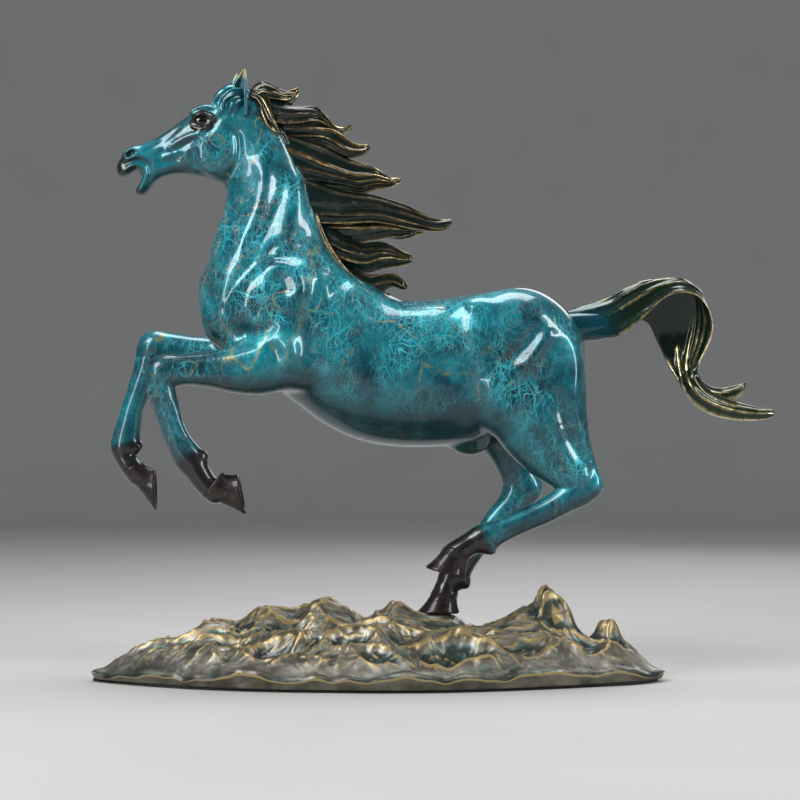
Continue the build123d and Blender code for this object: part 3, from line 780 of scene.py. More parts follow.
TAIL_A = [(136, -5, 243), (147, -8, 240.6), (158, -9.8, 239.6), (168, -11, 240.8), (179, -11.8, 248),
          (190, -12, 257.8), (200, -12, 267), (211, -12, 271), (222.5, -11.5, 269), (230.5, -10, 261),
          (234.4, -8.5, 250), (233.7, -7, 240.5), (230, -5.5, 231), (225.8, -5, 222.5), (224.6, -4, 216)]
TAIL_M = [(134, 0, 255.5), (145, 0, 259), (155, 0, 262), (164, 0, 265.5), (174, 0, 271.5),
          (186.5, 0, 277), (199, 1, 279.2), (213, 3, 277.5), (222, 6, 269), (224, 10, 258),
          (224, 12, 247.5), (222, 11.5, 237), (220, 9, 227), (218.5, 5, 218), (218.5, 1, 212)]
TAIL_B = [(136, 5, 246), (147, 7, 245), (158, 9.6, 244), (167, 10, 245.6), (176, 10.5, 249),
          (186, 11, 252.6), (191.5, 12, 250.8), (195, 13, 245.5), (197.5, 13.5, 239.5), (200.5, 13, 233),
          (203.2, 12, 226.5), (206, 10, 220), (209, 7, 214.5), (211.5, 3, 209.8), (213, 0, 206.5)]
LOWER_A = [(225.2, -5, 222), (224.8, -4, 216), (227.5, -2, 209), (234.5, 0, 202), (245, 1, 197.4),
           (256, 2, 193.8), (268, 2, 190.8), (279, 1, 189.2)]
LOWER_M = [(218.5, 2, 216), (218.5, -4, 210), (221, -7.5, 203.5), (228, -7.5, 196.5), (239, -6.5, 191),
           (252, -5, 187.5), (266, -3.5, 186), (279, -1.5, 186.4)]
LOWER_B = [(211.8, 2, 210.5), (213.2, 0, 205.5), (215.8, -2, 200.8), (222.2, -1, 193), (233, 0, 186.2),
           (248, 1, 182.7), (263.5, 1, 182.3), (277.6, 0, 184)]
UPPER_A = [(224, 2, 220), (226, 3, 213), (230.5, 4, 208), (239, 5.5, 204.6), (250, 7, 206),
           (260.6, 8.5, 208.6)]
UPPER_M = [(220, 2, 213), (223, 1, 207), (229.5, 0, 202), (240, 2, 199), (251, 4.5, 200.6),
           (259.8, 7.5, 206)]
UPPER_B = [(216, 2, 206), (221, 3, 200), (230, 4, 195), (241, 5, 193.8), (252, 7, 195.6),
           (258.4, 8.5, 203.4)]


# ---- hooves -------------------------------------------------------------------------
def hoof(front, back, toe, heel, y, w_top, w_sole):
    """A hoof between its coronet (front, back) and its sole (toe, heel), points in (x, z)."""
    nt, na = ((30, 72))
    ang = np.linspace(0, 2 * np.pi, na, endpoint=False)
    rows = []
    for t in np.linspace(0, 1, nt):
        f = np.array(front) * (1 - t) + np.array(toe) * t
        b = np.array(back) * (1 - t) + np.array(heel) * t
        flare = 1 + 0.10 * t ** 3 - 0.06 * math.sin(math.pi * t)
        flare += 0.065 * math.exp(-((t - 0.12) / 0.11) ** 2)
        flare -= 0.11 * max(0, (t - 0.90) / 0.10) ** 2
        half = (w_top * (1 - t) + w_sole * t) * flare
        mid, arm = (f + b) / 2, (f - b) / 2 * (flare + 0.02 * t)
        ring_wave = 1 + 0.006 * math.sin(t * 34) * (1 - t)
        ca, sa = np.cos(ang), np.sin(ang)
        reach = np.sign(ca) * np.abs(ca) ** 0.9
        wide = np.sign(sa) * np.abs(sa) ** 0.85 * np.where(ca < 0, 1 - 0.16 * ca ** 2, 1)
        lobes = 1 + 0.035 * np.cos(ang * 5) * math.exp(-((t - 0.08) / 0.09) ** 2)
        wide = wide * lobes
        notch = 1 - 0.14 * np.exp(-((ang - np.pi) / 0.22) ** 2) * (0.3 + 0.7 * t)
        rows.append(np.stack([mid[0] + arm[0] * reach * ring_wave * notch, y + half * wide * ring_wave,
                              mid[1] + arm[1] * reach * ring_wave * notch], 1))
    axis = np.array([(toe[0] + heel[0] - front[0] - back[0]) / 2, 0,
                     (toe[1] + heel[1] - front[1] - back[1]) / 2])
    axis = axis / np.linalg.norm(axis)
    lead = np.array([toe[0] - heel[0], 0, toe[1] - heel[1]])
    lead = lead / np.linalg.norm(lead)
    edge, centre = rows[-1], rows[-1].mean(0)
    span = np.linalg.norm(edge - centre, axis=1).max()
    for s in np.linspace(0.97, 0.04, 16):
        p = centre + (edge - centre) * s
        q = (p - centre) / span
        along, side = q @ lead, q[:, 1]
        cup = 1.6 * np.clip((0.9 - s) / 0.12, 0, 1)
        frog = np.clip(1 - np.abs(side) / np.maximum(0.10 + 0.30 * np.clip(0.15 - along, 0, 1), 0.03), 0, 1)
        frog = frog * (along < 0.3) * (1 - 0.9 * np.exp(-(side / 0.035) ** 2) * (along < -0.1))
        rows.append(p - axis * (cup - 1.3 * frog * (cup > 0))[:, None])
    loop = np.array(rows)
    n = loop.shape[0]
    ids = np.arange(n * na).reshape(n, na)
    faces = [tuple(f) for f in strip(ids)]
    verts = np.vstack([loop.reshape(-1, 3), loop[0].mean(0) - axis * 0.8, loop[-1].mean(0)])
    a, b = len(verts) - 2, len(verts) - 1
    faces += [(a, int(ids[0][(i + 1) % na]), int(ids[0][i])) for i in range(na)]
    faces += [(b, int(ids[-1][i]), int(ids[-1][(i + 1) % na])) for i in range(na)]
    return verts, faces


HOOVES = {
    "left_front_hoof": ((-119.5, 129.5), (-106.5, 146), (-90, 117.4), (-95.2, 144.6), -31, 8.8, 10.6),
    "right_front_hoof": ((-181.3, 146.5), (-166, 152.2), (-157, 117.6), (-157.8, 147.4), 30, 8.8, 10.6),
    "left_hind_hoof": ((46.6, 95.4), (65.2, 92.4), (33.6, 80.6), (60, 73), -28, 8.8, 11),
    "right_hind_hoof": ((40.8, 62.5), (57.6, 60.5), (29.6, 45.3), (58.4, 45), 26, 9.2, 12),
}


# ---- rock ---------------------------------------------------------------------------
def lattice(seed):
    """Directions on the corners of a 64 by 64 grid, for noise()."""
    rng = np.random.RandomState(seed)
    angles = rng.rand(64, 64) * 2 * np.pi
    return np.cos(angles), np.sin(angles)


def noise(x, y, seed):
    """Smooth noise in the plane, about -1 to 1, one bump per unit."""
    gx, gy = lattice(seed)
    ix, iy = np.floor(x).astype(int), np.floor(y).astype(int)
    fx, fy = x - ix, y - iy
    sx, sy = fx ** 3 * (fx * (fx * 6 - 15) + 10), fy ** 3 * (fy * (fy * 6 - 15) + 10)

    def corner(cx, cy):
        i, j = (ix + cx) % 64, (iy + cy) % 64
        return gx[i, j] * (fx - cx) + gy[i, j] * (fy - cy)
    top = corner(0, 0) * (1 - sx) + corner(1, 0) * sx
    low = corner(0, 1) * (1 - sx) + corner(1, 1) * sx
    return (top * (1 - sy) + low * sy) * 1.5


ROCK_HALF = (200.0, 75.0)  # half length and half depth
# Outline seen from above, as shares of the half length and depth.
ROCK_OUTLINE = [
    (-1.00, 0.02), (-0.84, -0.34), (-0.50, -0.80), (-0.15, -0.97), (0.15, -1.00), (0.46, -0.84),
    (0.76, -0.54), (0.95, -0.26), (1.00, 0.06), (0.86, 0.50), (0.55, 0.82), (0.15, 0.98), (-0.25, 0.92),
    (-0.60, 0.62), (-0.88, 0.24),
]
# Mounds: x, y, height, reach along x, reach along y, sharpness.
ROCK_MOUNDS = [
    (-114, 12, 13, 19, 17, 2.4), (-77, 12, 19, 17, 17, 2.6), (-38, 18, 23, 23, 19, 2.4),
    (12, 14, 17, 15, 17, 1.5), (30, 22, 9, 22, 18, 1.7), (114, 16, 20, 30, 20, 1.8),
    (125, 13, 19, 14, 13, 5.0), (162, 8, 14, 10, 12, 4.6), (172, 4, 6, 13, 12, 2.2),
    (99, 4, 6, 13, 12, 1.8), (-150, 6, 5, 20, 14, 2), (-64, -30, 9, 30, 12, 1.6),
    (-8, -36, 11, 24, 13, 1.5), (62, -34, 9, 26, 13, 1.5), (118, -26, 8, 20, 14, 1.6),
    (-112, -18, 6, 24, 13, 1.6), (158, -14, 7, 20, 14, 1.8), (-20, 52, 9, 34, 13, 2),
    (72, 48, 9, 26, 13, 1.8), (186, 6, 5, 12, 12, 2), (-96, 30, 6, 24, 14, 2),
]
# Bowls pressed into the rock: x, y, depth, reach along x, reach along y, rim height.
ROCK_BOWLS = [
    (-70, -42, 9, 17, 10, 2.2), (-18, -44, 8, 14, 9, 1.8), (52, -48, 8, 21, 10, 2),
    (96, -36, 6, 14, 9, 1.6), (125, 0, 8, 10, 7, 3.0), (-60, -6, 7, 15, 9, 1.4),
    (-30, -14, 6, 11, 8, 1.5), (18, -18, 6, 13, 8, 1.4), (68, -12, 6, 11, 8, 1.4),
    (142, -18, 6, 13, 10, 1.6), (-104, -26, 6, 16, 9, 1.4), (-96, 2, 5, 9, 7, 1.2),
    (0, -62, 5, 12, 7, 1.5), (-24, 52, 7, 20, 10, 1.6), (40, 56, 6, 18, 9, 1.6), (92, 36, 6, 14, 10, 1.6),
    (-80, 44, 6, 16, 9, 1.5), (168, -6, 4, 8, 7, 1.2), (-140, -6, 3, 14, 7, 1.0),
]


def rock_height(x, y, reach):
    """Height of the rock above the floor at (x, y); reach is 0 in the middle and 1 at the rim."""
    wx = x + 9 * noise(x / 42 + 3, y / 42, 1) + 3 * noise(x / 15, y / 15, 2)
    wy = y + 9 * noise(x / 42, y / 42 + 7, 3) + 3 * noise(x / 15, y / 15 + 5, 4)
    h = 13.5 + 18 * (1 - reach ** 2.0)
    for mx, my, mh, rx, ry, p in ROCK_MOUNDS:
        r = np.hypot((0.75 * x + 0.25 * wx - mx) / rx, (0.75 * y + 0.25 * wy - my) / ry)
        h = h + mh * np.exp(-r ** p)
    fold = 1 - np.abs(noise(wx / 33 + 11, wy / 20, 5)) * 2.0
    h = h + 4.4 * np.clip(fold, -0.4, 1) * (1 - reach ** 4)
    for bx, by, depth, rx, ry, rim in ROCK_BOWLS:
        r = np.hypot((wx - bx) / rx, (wy - by) / ry)
        h = h - depth * np.exp(-r ** 2.6) + rim * np.exp(-((r - 1.25) / 0.26) ** 2)
    fine = 1 - np.abs(noise(wx / 11 + 5, wy / 8.5, 6)) * 2
    h = h + 0.8 * fine * (1 - reach ** 6)
    h = h + 0.35 * noise(wx / 4.6, wy / 4.6, 7) + 0.15 * noise(x / 1.9, y / 1.9, 8)
    inner = np.clip((1 - reach) / 0.15, 0, 1)
    crest = np.abs(noise(wx / 23 + 1, wy / 15 + 4, 14))
    small = np.abs(noise(wx / 12 + 6, wy / 9 + 2, 15))
    h = h + (1.6 * np.exp(-(crest / 0.09) ** 1.4) + 1.0 * np.exp(-(small / 0.10) ** 1.4)) * inner
    edge = 10.8 + 5.2 * noise(x / 36, y / 36, 9) + 2.0 * noise(x / 13, y / 13, 10) - 2.5 * (x / 200) ** 6
    k = np.clip((1 - reach) / 0.17, 0, 1)
    k = (k * k * (3 - 2 * k)) ** 0.8
    h = edge * (1 - k) + np.maximum(h, edge - 1) * k
    h = h - 2.2 * np.clip((reach - 0.975) / 0.025, 0, 1) ** 2
    seat = np.exp(-(np.hypot(x - HOOF_SEAT[0], y - HOOF_SEAT[1]) / 16) ** 4)
    return h * (1 - seat) + HOOF_SEAT_Z * seat


def rock():
    """The rock: its rough top, the undercut rim and the flat underside.

    Returns vertices and faces, and per vertex whether it is on the wall, how deep in a
    hollow it lies and how much of a thin crest it is.
    """
    na, nr, nw = ((720, 110, 14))
    fine = curve_through([ROCK_OUTLINE[-1]] + ROCK_OUTLINE + ROCK_OUTLINE[:2], 1800)
    a = np.unwrap(np.arctan2(fine[:, 1], fine[:, 0]))
    want = np.linspace(a[60], a[60] + 2 * np.pi, na, endpoint=False)
    order = np.argsort(a)
    out = np.stack([np.interp(want, a[order], fine[order, i], period=None) for i in (0, 1)], 1)
    shares = np.sin(np.linspace(0, 1, nr) ** 0.9 * np.pi / 2)
    shares[0] = 0.002
    grid = np.array([out * s for s in shares]) * ROCK_HALF
    reach = np.repeat(shares[:, None], na, 1)
    waver = 1 + 0.004 * noise(grid[..., 0] / 14, grid[..., 1] / 14, 12) * reach
    x, y = grid[..., 0] * waver, grid[..., 1] * waver
    z = rock_height(x, y, reach)
    # how far each spot lies below (+) or above (-) the rock around it
    around = [rock_height(x + dx, y + dy, np.minimum(reach, 0.97)) for dx, dy in
              ((9, 0), (-9, 0), (0, 9), (0, -9), (5, 5), (-5, 5), (5, -5), (-5, -5))]
    low = (np.mean(around, 0) - z) / 5
    beside = [rock_height(x + dx, y + dy, reach) for dx, dy in ((2.4, 0), (-2.4, 0), (0, 2.4), (0, -2.4))]
    thin = z - np.mean(beside, 0) - 0.2 * np.maximum(-low, 0)
    # overhangs: the steep faces lean a little outwards, like wax that has run
    gx = noise(x / 24, y / 24, 13) * 2.2 * (1 - reach ** 3)
    x, y = x + gx * np.clip((z - 26) / 14, 0, 1), y - 2.2 * np.clip((z - 24) / 16, 0, 1) * (1 - reach ** 3)
    # a hollow with a thick lip in the front of the peak
    r = np.hypot((x - 126) / 10.5, (z - 57.5) / 9)
    front = np.clip((15 - y) / 6, 0, 1) * np.clip((y + 14) / 6, 0, 1)
    y = y + (7.5 * np.exp(-r ** 3) - 2.2 * np.exp(-((r - 1.25) / 0.28) ** 2)) * front
    top = np.stack([x, y, z], -1)
    rim = top[-1]
    wall = []
    for t in np.linspace(0, 1, nw)[1:]:
        inset = 1 - 0.006 * math.sin(t * math.pi * 0.5) * 1.6 - (0.004 if t == 1 else 0)
        hatch = 1 + 0.0009 * np.sin(np.arange(na) * 2.1) * math.sin(math.pi * t)
        wall.append(np.stack([rim[:, 0] * inset * hatch, rim[:, 1] * inset * hatch,
                              rim[:, 2] * (1 - t) + PAD_TOP * t], -1))
    under = [np.stack([wall[-1][:, 0] * s, wall[-1][:, 1] * s, np.full(na, PAD_TOP)], -1)
             for s in (0.9, 0.5, 0.1)]
    grid = np.concatenate([top, np.array(wall), np.array(under)])
    n = len(grid)
    ids = np.arange(n * na).reshape(n, na)
    verts = np.vstack([grid.reshape(-1, 3), grid[0].mean(0), grid[-1].mean(0)])
    a, b = len(verts) - 2, len(verts) - 1
    faces = [tuple(q) for q in strip(ids, turned=True)]
    faces += [(a, int(ids[0][i]), int(ids[0][(i + 1) % na])) for i in range(na)]
    faces += [(b, int(ids[-1][(i + 1) % na]), int(ids[-1][i])) for i in range(na)]
    on_wall = np.concatenate([np.zeros(top.shape[:2]).ravel(), np.ones((n - len(top)) * na), [0, 1]])
    hollow = np.concatenate([low.ravel(), np.zeros((n - len(top)) * na + 2)])
    crest = np.concatenate([thin.ravel(), np.zeros((n - len(top)) * na + 2)])
    crest[(len(top) - 1) * na:(len(top) + 2) * na] = 0.9
    return verts, faces, on_wall, hollow, crest


# ---- materials ----------------------------------------------------------------------
class Finish:
    """A procedural material and short ways to wire its nodes."""

    def __init__(self, name):
        self.material = bpy.data.materials.new(name)
        self.material.use_nodes = True
        self.tree = self.material.node_tree
        self.tree.nodes.clear()
        self.place = self.node("ShaderNodeTexCoord").outputs["Object"]

    def node(self, kind, **settings):
        made = self.tree.nodes.new(kind)
        for key, value in settings.items():
            setattr(made, key, value)
        return made

    def feed(self, socket, value):
        if isinstance(value, bpy.types.NodeSocket):
            self.tree.links.new(value, socket)
        elif isinstance(value, tuple) and len(value) == 3 and socket.type == "RGBA":
            socket.default_value = value + (1,)
        else:
            socket.default_value = value

    def math(self, operation, a, b=0.0):
        made = self.node("ShaderNodeMath", operation=operation)
        self.feed(made.inputs[0], a)
        self.feed(made.inputs[1], b)
        return made.outputs[0]

    def plus(self, a, b):
        return self.math("ADD", a, b)

    def minus(self, a, b):
        return self.math("SUBTRACT", a, b)

    def times(self, a, b):
        return self.math("MULTIPLY", a, b)

    def most(self, a, b):
        return self.math("MAXIMUM", a, b)

    def noise(self, scale, detail=3.0, rough=0.5, twist=0.0, at=None):
        made = self.node("ShaderNodeTexNoise")
        for key, value in (("Vector", at or self.place), ("Scale", scale), ("Detail", detail),
                           ("Roughness", rough), ("Distortion", twist)):
            self.feed(made.inputs[key], value)
        return made.outputs[0]

    def warped(self, scale, amount):
        """Coordinates pushed about by noise, amount in metres."""
        made = self.node("ShaderNodeTexNoise")
        self.feed(made.inputs["Vector"], self.place)
        self.feed(made.inputs["Scale"], scale)
        self.feed(made.inputs["Detail"], 3.0)
        centred = self.node("ShaderNodeVectorMath", operation="SUBTRACT")
        self.feed(centred.inputs[0], made.outputs["Color"])
        centred.inputs[1].default_value = (0.5, 0.5, 0.5)
        scaled = self.node("ShaderNodeVectorMath", operation="SCALE")
        self.feed(scaled.inputs[0], centred.outputs[0])
        scaled.inputs["Scale"].default_value = amount
        moved = self.node("ShaderNodeVectorMath", operation="ADD")
        self.feed(moved.inputs[0], self.place)
        self.feed(moved.inputs[1], scaled.outputs[0])
        return moved.outputs[0]

    def cells(self, scale, feature="DISTANCE_TO_EDGE", at=None):
        made = self.node("ShaderNodeTexVoronoi", feature=feature)
        self.feed(made.inputs["Vector"], at or self.place)
        self.feed(made.inputs["Scale"], scale)
        return made.outputs["Distance"]

    def span(self, value, low, high, to_low=0.0, to_high=1.0):
        """Moves value smoothly from to_low to to_high while it goes from low to high."""
        made = self.node("ShaderNodeMapRange", interpolation_type="SMOOTHSTEP")
        for key, number in (("Value", value), ("From Min", low), ("From Max", high),
                            ("To Min", to_low), ("To Max", to_high)):
            self.feed(made.inputs[key], number)
        return made.outputs[0]

    def ramp(self, value, *stops):
        made = self.node("ShaderNodeValToRGB")
        self.feed(made.inputs[0], value)
        points = made.color_ramp.elements
        while len(points) < len(stops):
            points.new(0.5)
        for point, (at, colour) in zip(points, stops):
            point.position, point.color = at, colour + (1,)
        return made.outputs[0]

    def blend(self, share, a, b):
        """Colour a with so much of colour b over it."""
        made = self.node("ShaderNodeMix", data_type="RGBA", blend_type="MIX")
        self.feed(made.inputs[0], share)
        self.feed(made.inputs[6], a)
        self.feed(made.inputs[7], b)
        return made.outputs[2]

    def axis(self, which, source=None):
        made = self.node("ShaderNodeSeparateXYZ")
        self.feed(made.inputs[0], source or self.place)
        return made.outputs[which]

    def facing(self, which):
        """One component of the surface normal."""
        made = self.node("ShaderNodeNewGeometry")
        return self.axis(which, made.outputs["Normal"])

    def painted(self, name):
        """A value that was painted on the vertices of the mesh."""
        made = self.node("ShaderNodeAttribute", attribute_type="GEOMETRY", attribute_name=name)
        return made.outputs["Fac"]

    def near(self, centre, radius, soft=0.5):
        """1 inside a ball round centre, fading to 0 at its radius, metres."""
        made = self.node("ShaderNodeVectorMath", operation="DISTANCE")
        self.feed(made.inputs[0], self.place)
        made.inputs[1].default_value = centre
        return self.span(made.outputs["Value"], radius, radius * soft)

    def relief(self, *layers):
        """Bump from (height, strength, distance in metres) layers."""
        normal = None
        for height, strength, distance in layers:
            made = self.node("ShaderNodeBump")
            self.feed(made.inputs["Height"], height)
            made.inputs["Strength"].default_value = strength
            made.inputs["Distance"].default_value = distance
            if normal:
                self.feed(made.inputs["Normal"], normal)
            normal = made.outputs[0]
        return normal

    def finish(self, colour, metal, rough, normal=None, coat=0.0, coat_rough=0.03, coat_normal=None,
               specular=0.5):
        shader = self.node("ShaderNodeBsdfPrincipled")
        for key, value in (("Base Color", colour), ("Metallic", metal), ("Roughness", rough),
                           ("Coat Weight", coat), ("Coat Roughness", coat_rough), ("Coat IOR", 1.40),
                           ("Specular IOR Level", specular)):
            self.feed(shader.inputs[key], value)
        if normal:
            self.feed(shader.inputs["Normal"], normal)
        if coat_normal:
            self.feed(shader.inputs["Coat Normal"], coat_normal)
        out = self.node("ShaderNodeOutputMaterial")
        self.tree.links.new(shader.outputs[0], out.inputs[0])
        return self.material


def fibres(f, scale, turn, warp, thin):
    """Long fine crossing lines: 1 on a line, 0 between lines."""
    made = f.node("ShaderNodeMapping")
    f.feed(made.inputs["Vector"], f.warped(scale * 0.7, warp))
    made.inputs["Rotation"].default_value = turn
    made.inputs["Scale"].default_value = (1.0, 0.42, 0.30)
    return f.span(f.cells(scale, at=made.outputs[0]), thin, 0.0)


def strands(f, scale, twist, gap, thin, shift):
    """Long curving lines, like the contours of a map: 1 on a line, 0 between lines."""
    moved = f.node("ShaderNodeVectorMath", operation="ADD")
    f.feed(moved.inputs[0], f.warped(scale * 5, 0.0035))
    moved.inputs[1].default_value = shift
    level = f.noise(scale, 2.0, 0.5, twist, at=moved.outputs[0])
    fold = f.math("ABSOLUTE", f.minus(f.math("PINGPONG", level, gap), gap / 2))
    return f.span(fold, thin, 0.0)


def turquoise():
    """Lacquered turquoise patina with a web of pale fibres, dark hollows and specks of gold, darkened by
    painted shade on the underside and under the lower jaw.
    """
    f = Finish("turquoise patina")
    z = f.axis(2)
    cloud = f.noise(24, 5, 0.6, 0.5)
    cloud2 = f.noise(75, 4, 0.6)
    tone = f.plus(f.times(cloud, 0.7), f.times(cloud2, 0.3))
    colour = f.ramp(tone, (0.34, (0.000, 0.014, 0.026)), (0.43, (0.0005, 0.050, 0.075)),
                    (0.51, (0.001, 0.125, 0.168)),
                    (0.60, (0.003, 0.215, 0.265)), (0.76, (0.012, 0.34, 0.38)))
    pools = f.span(f.noise(15, 4, 0.55, 0.8), 0.53, 0.66)
    colour = f.blend(f.times(pools, 0.72), colour, (0.0005, 0.022, 0.040))
    # fibres of several sizes, thickest on the shoulder, the flank and the hip
    patch = f.span(f.noise(22, 4, 0.6), 0.44, 0.62)
    rich = f.most(f.near((-0.080, 0, 0.262), 0.075, 0.3), f.near((0.085, 0, 0.232), 0.062, 0.3))
    patch = f.most(patch, f.times(rich, 0.6))
    web = fibres(f, 48, (0.3, 0.9, 0.2), 0.020, 0.010)
    for scale, turn, warp, thin, strength in (
            (66, (-0.6, 0.4, 1.2), 0.016, 0.013, 0.95), (105, (1.1, -0.8, 0.5), 0.012, 0.019, 0.9),
            (160, (0.5, 0.2, -1.0), 0.008, 0.028, 0.8), (260, (0.1, 1.4, 0.7), 0.006, 0.044, 0.6)):
        web = f.most(web, f.times(fibres(f, scale, turn, warp, thin), strength))
    long = f.most(strands(f, 13, 0.6, 0.050, 0.0026, (0.3, 0.1, 0.7)),
                  strands(f, 19, 0.9, 0.070, 0.0042, (1.9, 0.4, 0.2)))
    long = f.most(long, f.times(strands(f, 30, 0.8, 0.090, 0.0075, (0.8, 2.3, 1.1)), 0.8))
    long = f.times(long, f.span(f.noise(48, 3), 0.36, 0.56))
    web = f.most(web, long)
    web = f.times(web, f.plus(f.times(patch, 0.80), 0.16))
    web = f.times(web, f.span(f.near((-0.155, 0, 0.372), 0.045, 0.4), 0.0, 1.0, 1.0, 0.25))
    colour = f.blend(f.times(web, 0.88), colour, (0.075, 0.62, 0.73))
    # ochre fibres
    rust = f.times(fibres(f, 34, (0.9, 0.1, 0.6), 0.016, 0.022), f.span(f.noise(16, 2), 0.50, 0.62))
    gold_line = strands(f, 9, 0.9, 0.085, 0.0026, (2.7, 1.2, 0.4))
    rust = f.most(rust, f.times(gold_line, f.span(f.noise(21, 2), 0.44, 0.56)))
    rust = f.times(rust, f.span(f.noise(190, 3), 0.36, 0.56))
    colour = f.blend(f.times(rust, 0.75), colour, (0.34, 0.27, 0.055))
    # worn beige gold on the front of the neck, the cheek and the high places
    pale = f.most(f.near((-0.104, 0, 0.318), 0.052, 0.25), f.near((-0.108, 0, 0.352), 0.030, 0.25))
    pale = f.most(pale, f.times(f.near((-0.085, 0, 0.300), 0.06, 0.2), 0.6))
    speck = f.span(f.noise(260, 4, 0.75), 0.50, 0.62)
    speck = f.times(speck, f.span(f.noise(38, 4, 0.6), 0.40, 0.60))
    speck = f.times(speck, f.plus(f.times(pale, 0.80), 0.12))
    colour = f.blend(speck, colour, (0.46, 0.43, 0.28))
    # darker, greener underside and inner faces by how far the surface turns down: partly patina, partly
    # painted shade
    under = f.span(f.facing(2), 0.40, -0.75)
    colour = f.blend(f.times(under, 0.86), colour, (0.0005, 0.022, 0.028))
    # the crest, the muzzle, the eyes and the feet go dark; the lower jaw and the open mouth get painted
    # shade
    crest = f.most(f.near((-0.050, 0, 0.338), 0.026, 0.2), f.near((-0.064, 0, 0.366), 0.024, 0.2))
    crest = f.most(crest, f.near((-0.036, 0, 0.306), 0.022, 0.2))
    colour = f.blend(f.times(crest, 0.85), colour, (0.001, 0.010, 0.015))
    muzzle = f.near((-0.182, 0, 0.361), 0.0215, 0.32)
    # painted shade: the second ball darkens the underside of the lower jaw and the inside of the open mouth
    dark = f.most(muzzle, f.times(f.near((-0.167, 0, 0.341), 0.014, 0.3), 0.8))
    for side in (-0.0128, 0.0128):
        for x_eye, z_eye, reach in ((-0.1252, 0.3888, 0.0076), (-0.1185, 0.3898, 0.0078),
                                    (-0.1215, 0.3912, 0.0076)):
            dark = f.most(dark, f.near((x_eye, side, z_eye), reach, 0.78))
    dark = f.most(dark, f.times(f.near((-0.1085, 0, 0.3910), 0.0175, 0.4), 0.72))
    feet = f.most(f.near((-0.121, -0.031, 0.140), 0.031, 0.45), f.near((-0.172, 0.030, 0.146), 0.031, 0.45))
    feet = f.most(feet, f.most(f.near((0.054, -0.028, 0.090), 0.034, 0.45),
                                          f.near((0.048, 0.026, 0.060), 0.044, 0.5)))
    rag = f.times(f.minus(f.noise(120, 4, 0.6), 0.5), 0.9)
    feet = f.span(f.plus(feet, rag), 0.12, 0.72)
    dark = f.most(dark, feet)
    colour = f.blend(f.times(dark, 0.97), colour, (0.0055, 0.0035, 0.003))
    # gilt tips of the ears
    gilt = f.span(f.plus(z, f.times(f.noise(200, 3), 0.008)), 0.4220, 0.4305)
    colour = f.blend(f.times(gilt, 0.85), colour, (0.48, 0.42, 0.20))
    metal = f.span(tone, 0.35, 0.7, 0.20, 0.38)
    rough = f.plus(0.27, f.times(cloud2, 0.16))
    grain = f.relief((f.noise(420, 3), 0.06, 0.0006), (cloud2, 0.10, 0.0012), (web, 0.05, 0.0004))
    lacquer = f.relief((f.noise(45, 3, 0.5), 0.12, 0.0018), (f.noise(260, 2), 0.015, 0.0005))
    metal = f.times(metal, f.minus(1.0, f.most(dark, f.times(under, 0.7))))
    return f.finish(colour, metal, rough, grain, coat=1.0, coat_rough=0.03, coat_normal=lacquer,
                    specular=0.3)


def hair_bronze(name, root, deep, gold, pale, root_far):
    """Dark patina in the grooves of the hair, worn to gold on the strands, and a pale tone on the highest
    strands that is partly worn metal and partly painted highlight.
    """
    f = Finish(name)
    ridge, along = f.painted("ridge"), f.painted("along")
    cloud = f.noise(60, 5, 0.6)
    streak = f.noise(170, 3, 0.6, 0.5)
    base = f.blend(f.span(along, 0.0, root_far), root, deep)
    base = f.blend(f.times(f.span(cloud, 0.45, 0.7), 0.6), base, (0.006, 0.014, 0.010))
    worn = f.plus(f.times(ridge, 0.85), f.times(f.minus(streak, 0.5), 0.9))
    worn = f.plus(worn, f.times(along, 0.42))
    # the highest strands turn pale: partly worn metal, partly painted highlight
    worn_top_and_highlight = f.span(worn, 0.86, 1.22)
    worn = f.span(worn, 0.50, 1.02)
    colour = f.blend(worn, base, gold)
    colour = f.blend(f.times(worn_top_and_highlight, 0.85), colour, pale)
    metal = f.plus(0.30, f.times(worn, 0.6))
    rough = f.plus(0.17, f.times(streak, 0.20))
    bump = f.relief((f.noise(330, 4, 0.6), 0.14, 0.0008), (streak, 0.12, 0.001))
    return f.finish(colour, metal, rough, bump, coat=1.0, coat_rough=0.04, specular=0.12)


def hoof_finish():
    """Dark brown hooves with a dull lacquer and a pinkish scatter of specks, partly worn metal and partly
    painted glints.
    """
    f = Finish("hoof brown")
    cloud = f.noise(110, 5, 0.6)
    colour = f.ramp(cloud, (0.36, (0.004, 0.0028, 0.0025)), (0.54, (0.011, 0.0065, 0.0058)),
                    (0.74, (0.035, 0.019, 0.016)))
    # pinkish specks: partly worn metal, partly painted glints
    speck = f.times(f.span(f.noise(520, 3, 0.7), 0.56, 0.68), f.span(cloud, 0.42, 0.62))
    colour = f.blend(f.times(speck, 0.55), colour, (0.20, 0.115, 0.095))
    rings = f.noise(38, 2, at=f.warped(60, 0.004))
    bump = f.relief((f.noise(380, 4, 0.6), 0.22, 0.0007), (rings, 0.15, 0.0012))
    return f.finish(colour, 0.25, f.plus(0.34, f.times(cloud, 0.22)), bump, coat=0.6, coat_rough=0.12,
                    specular=0.3)


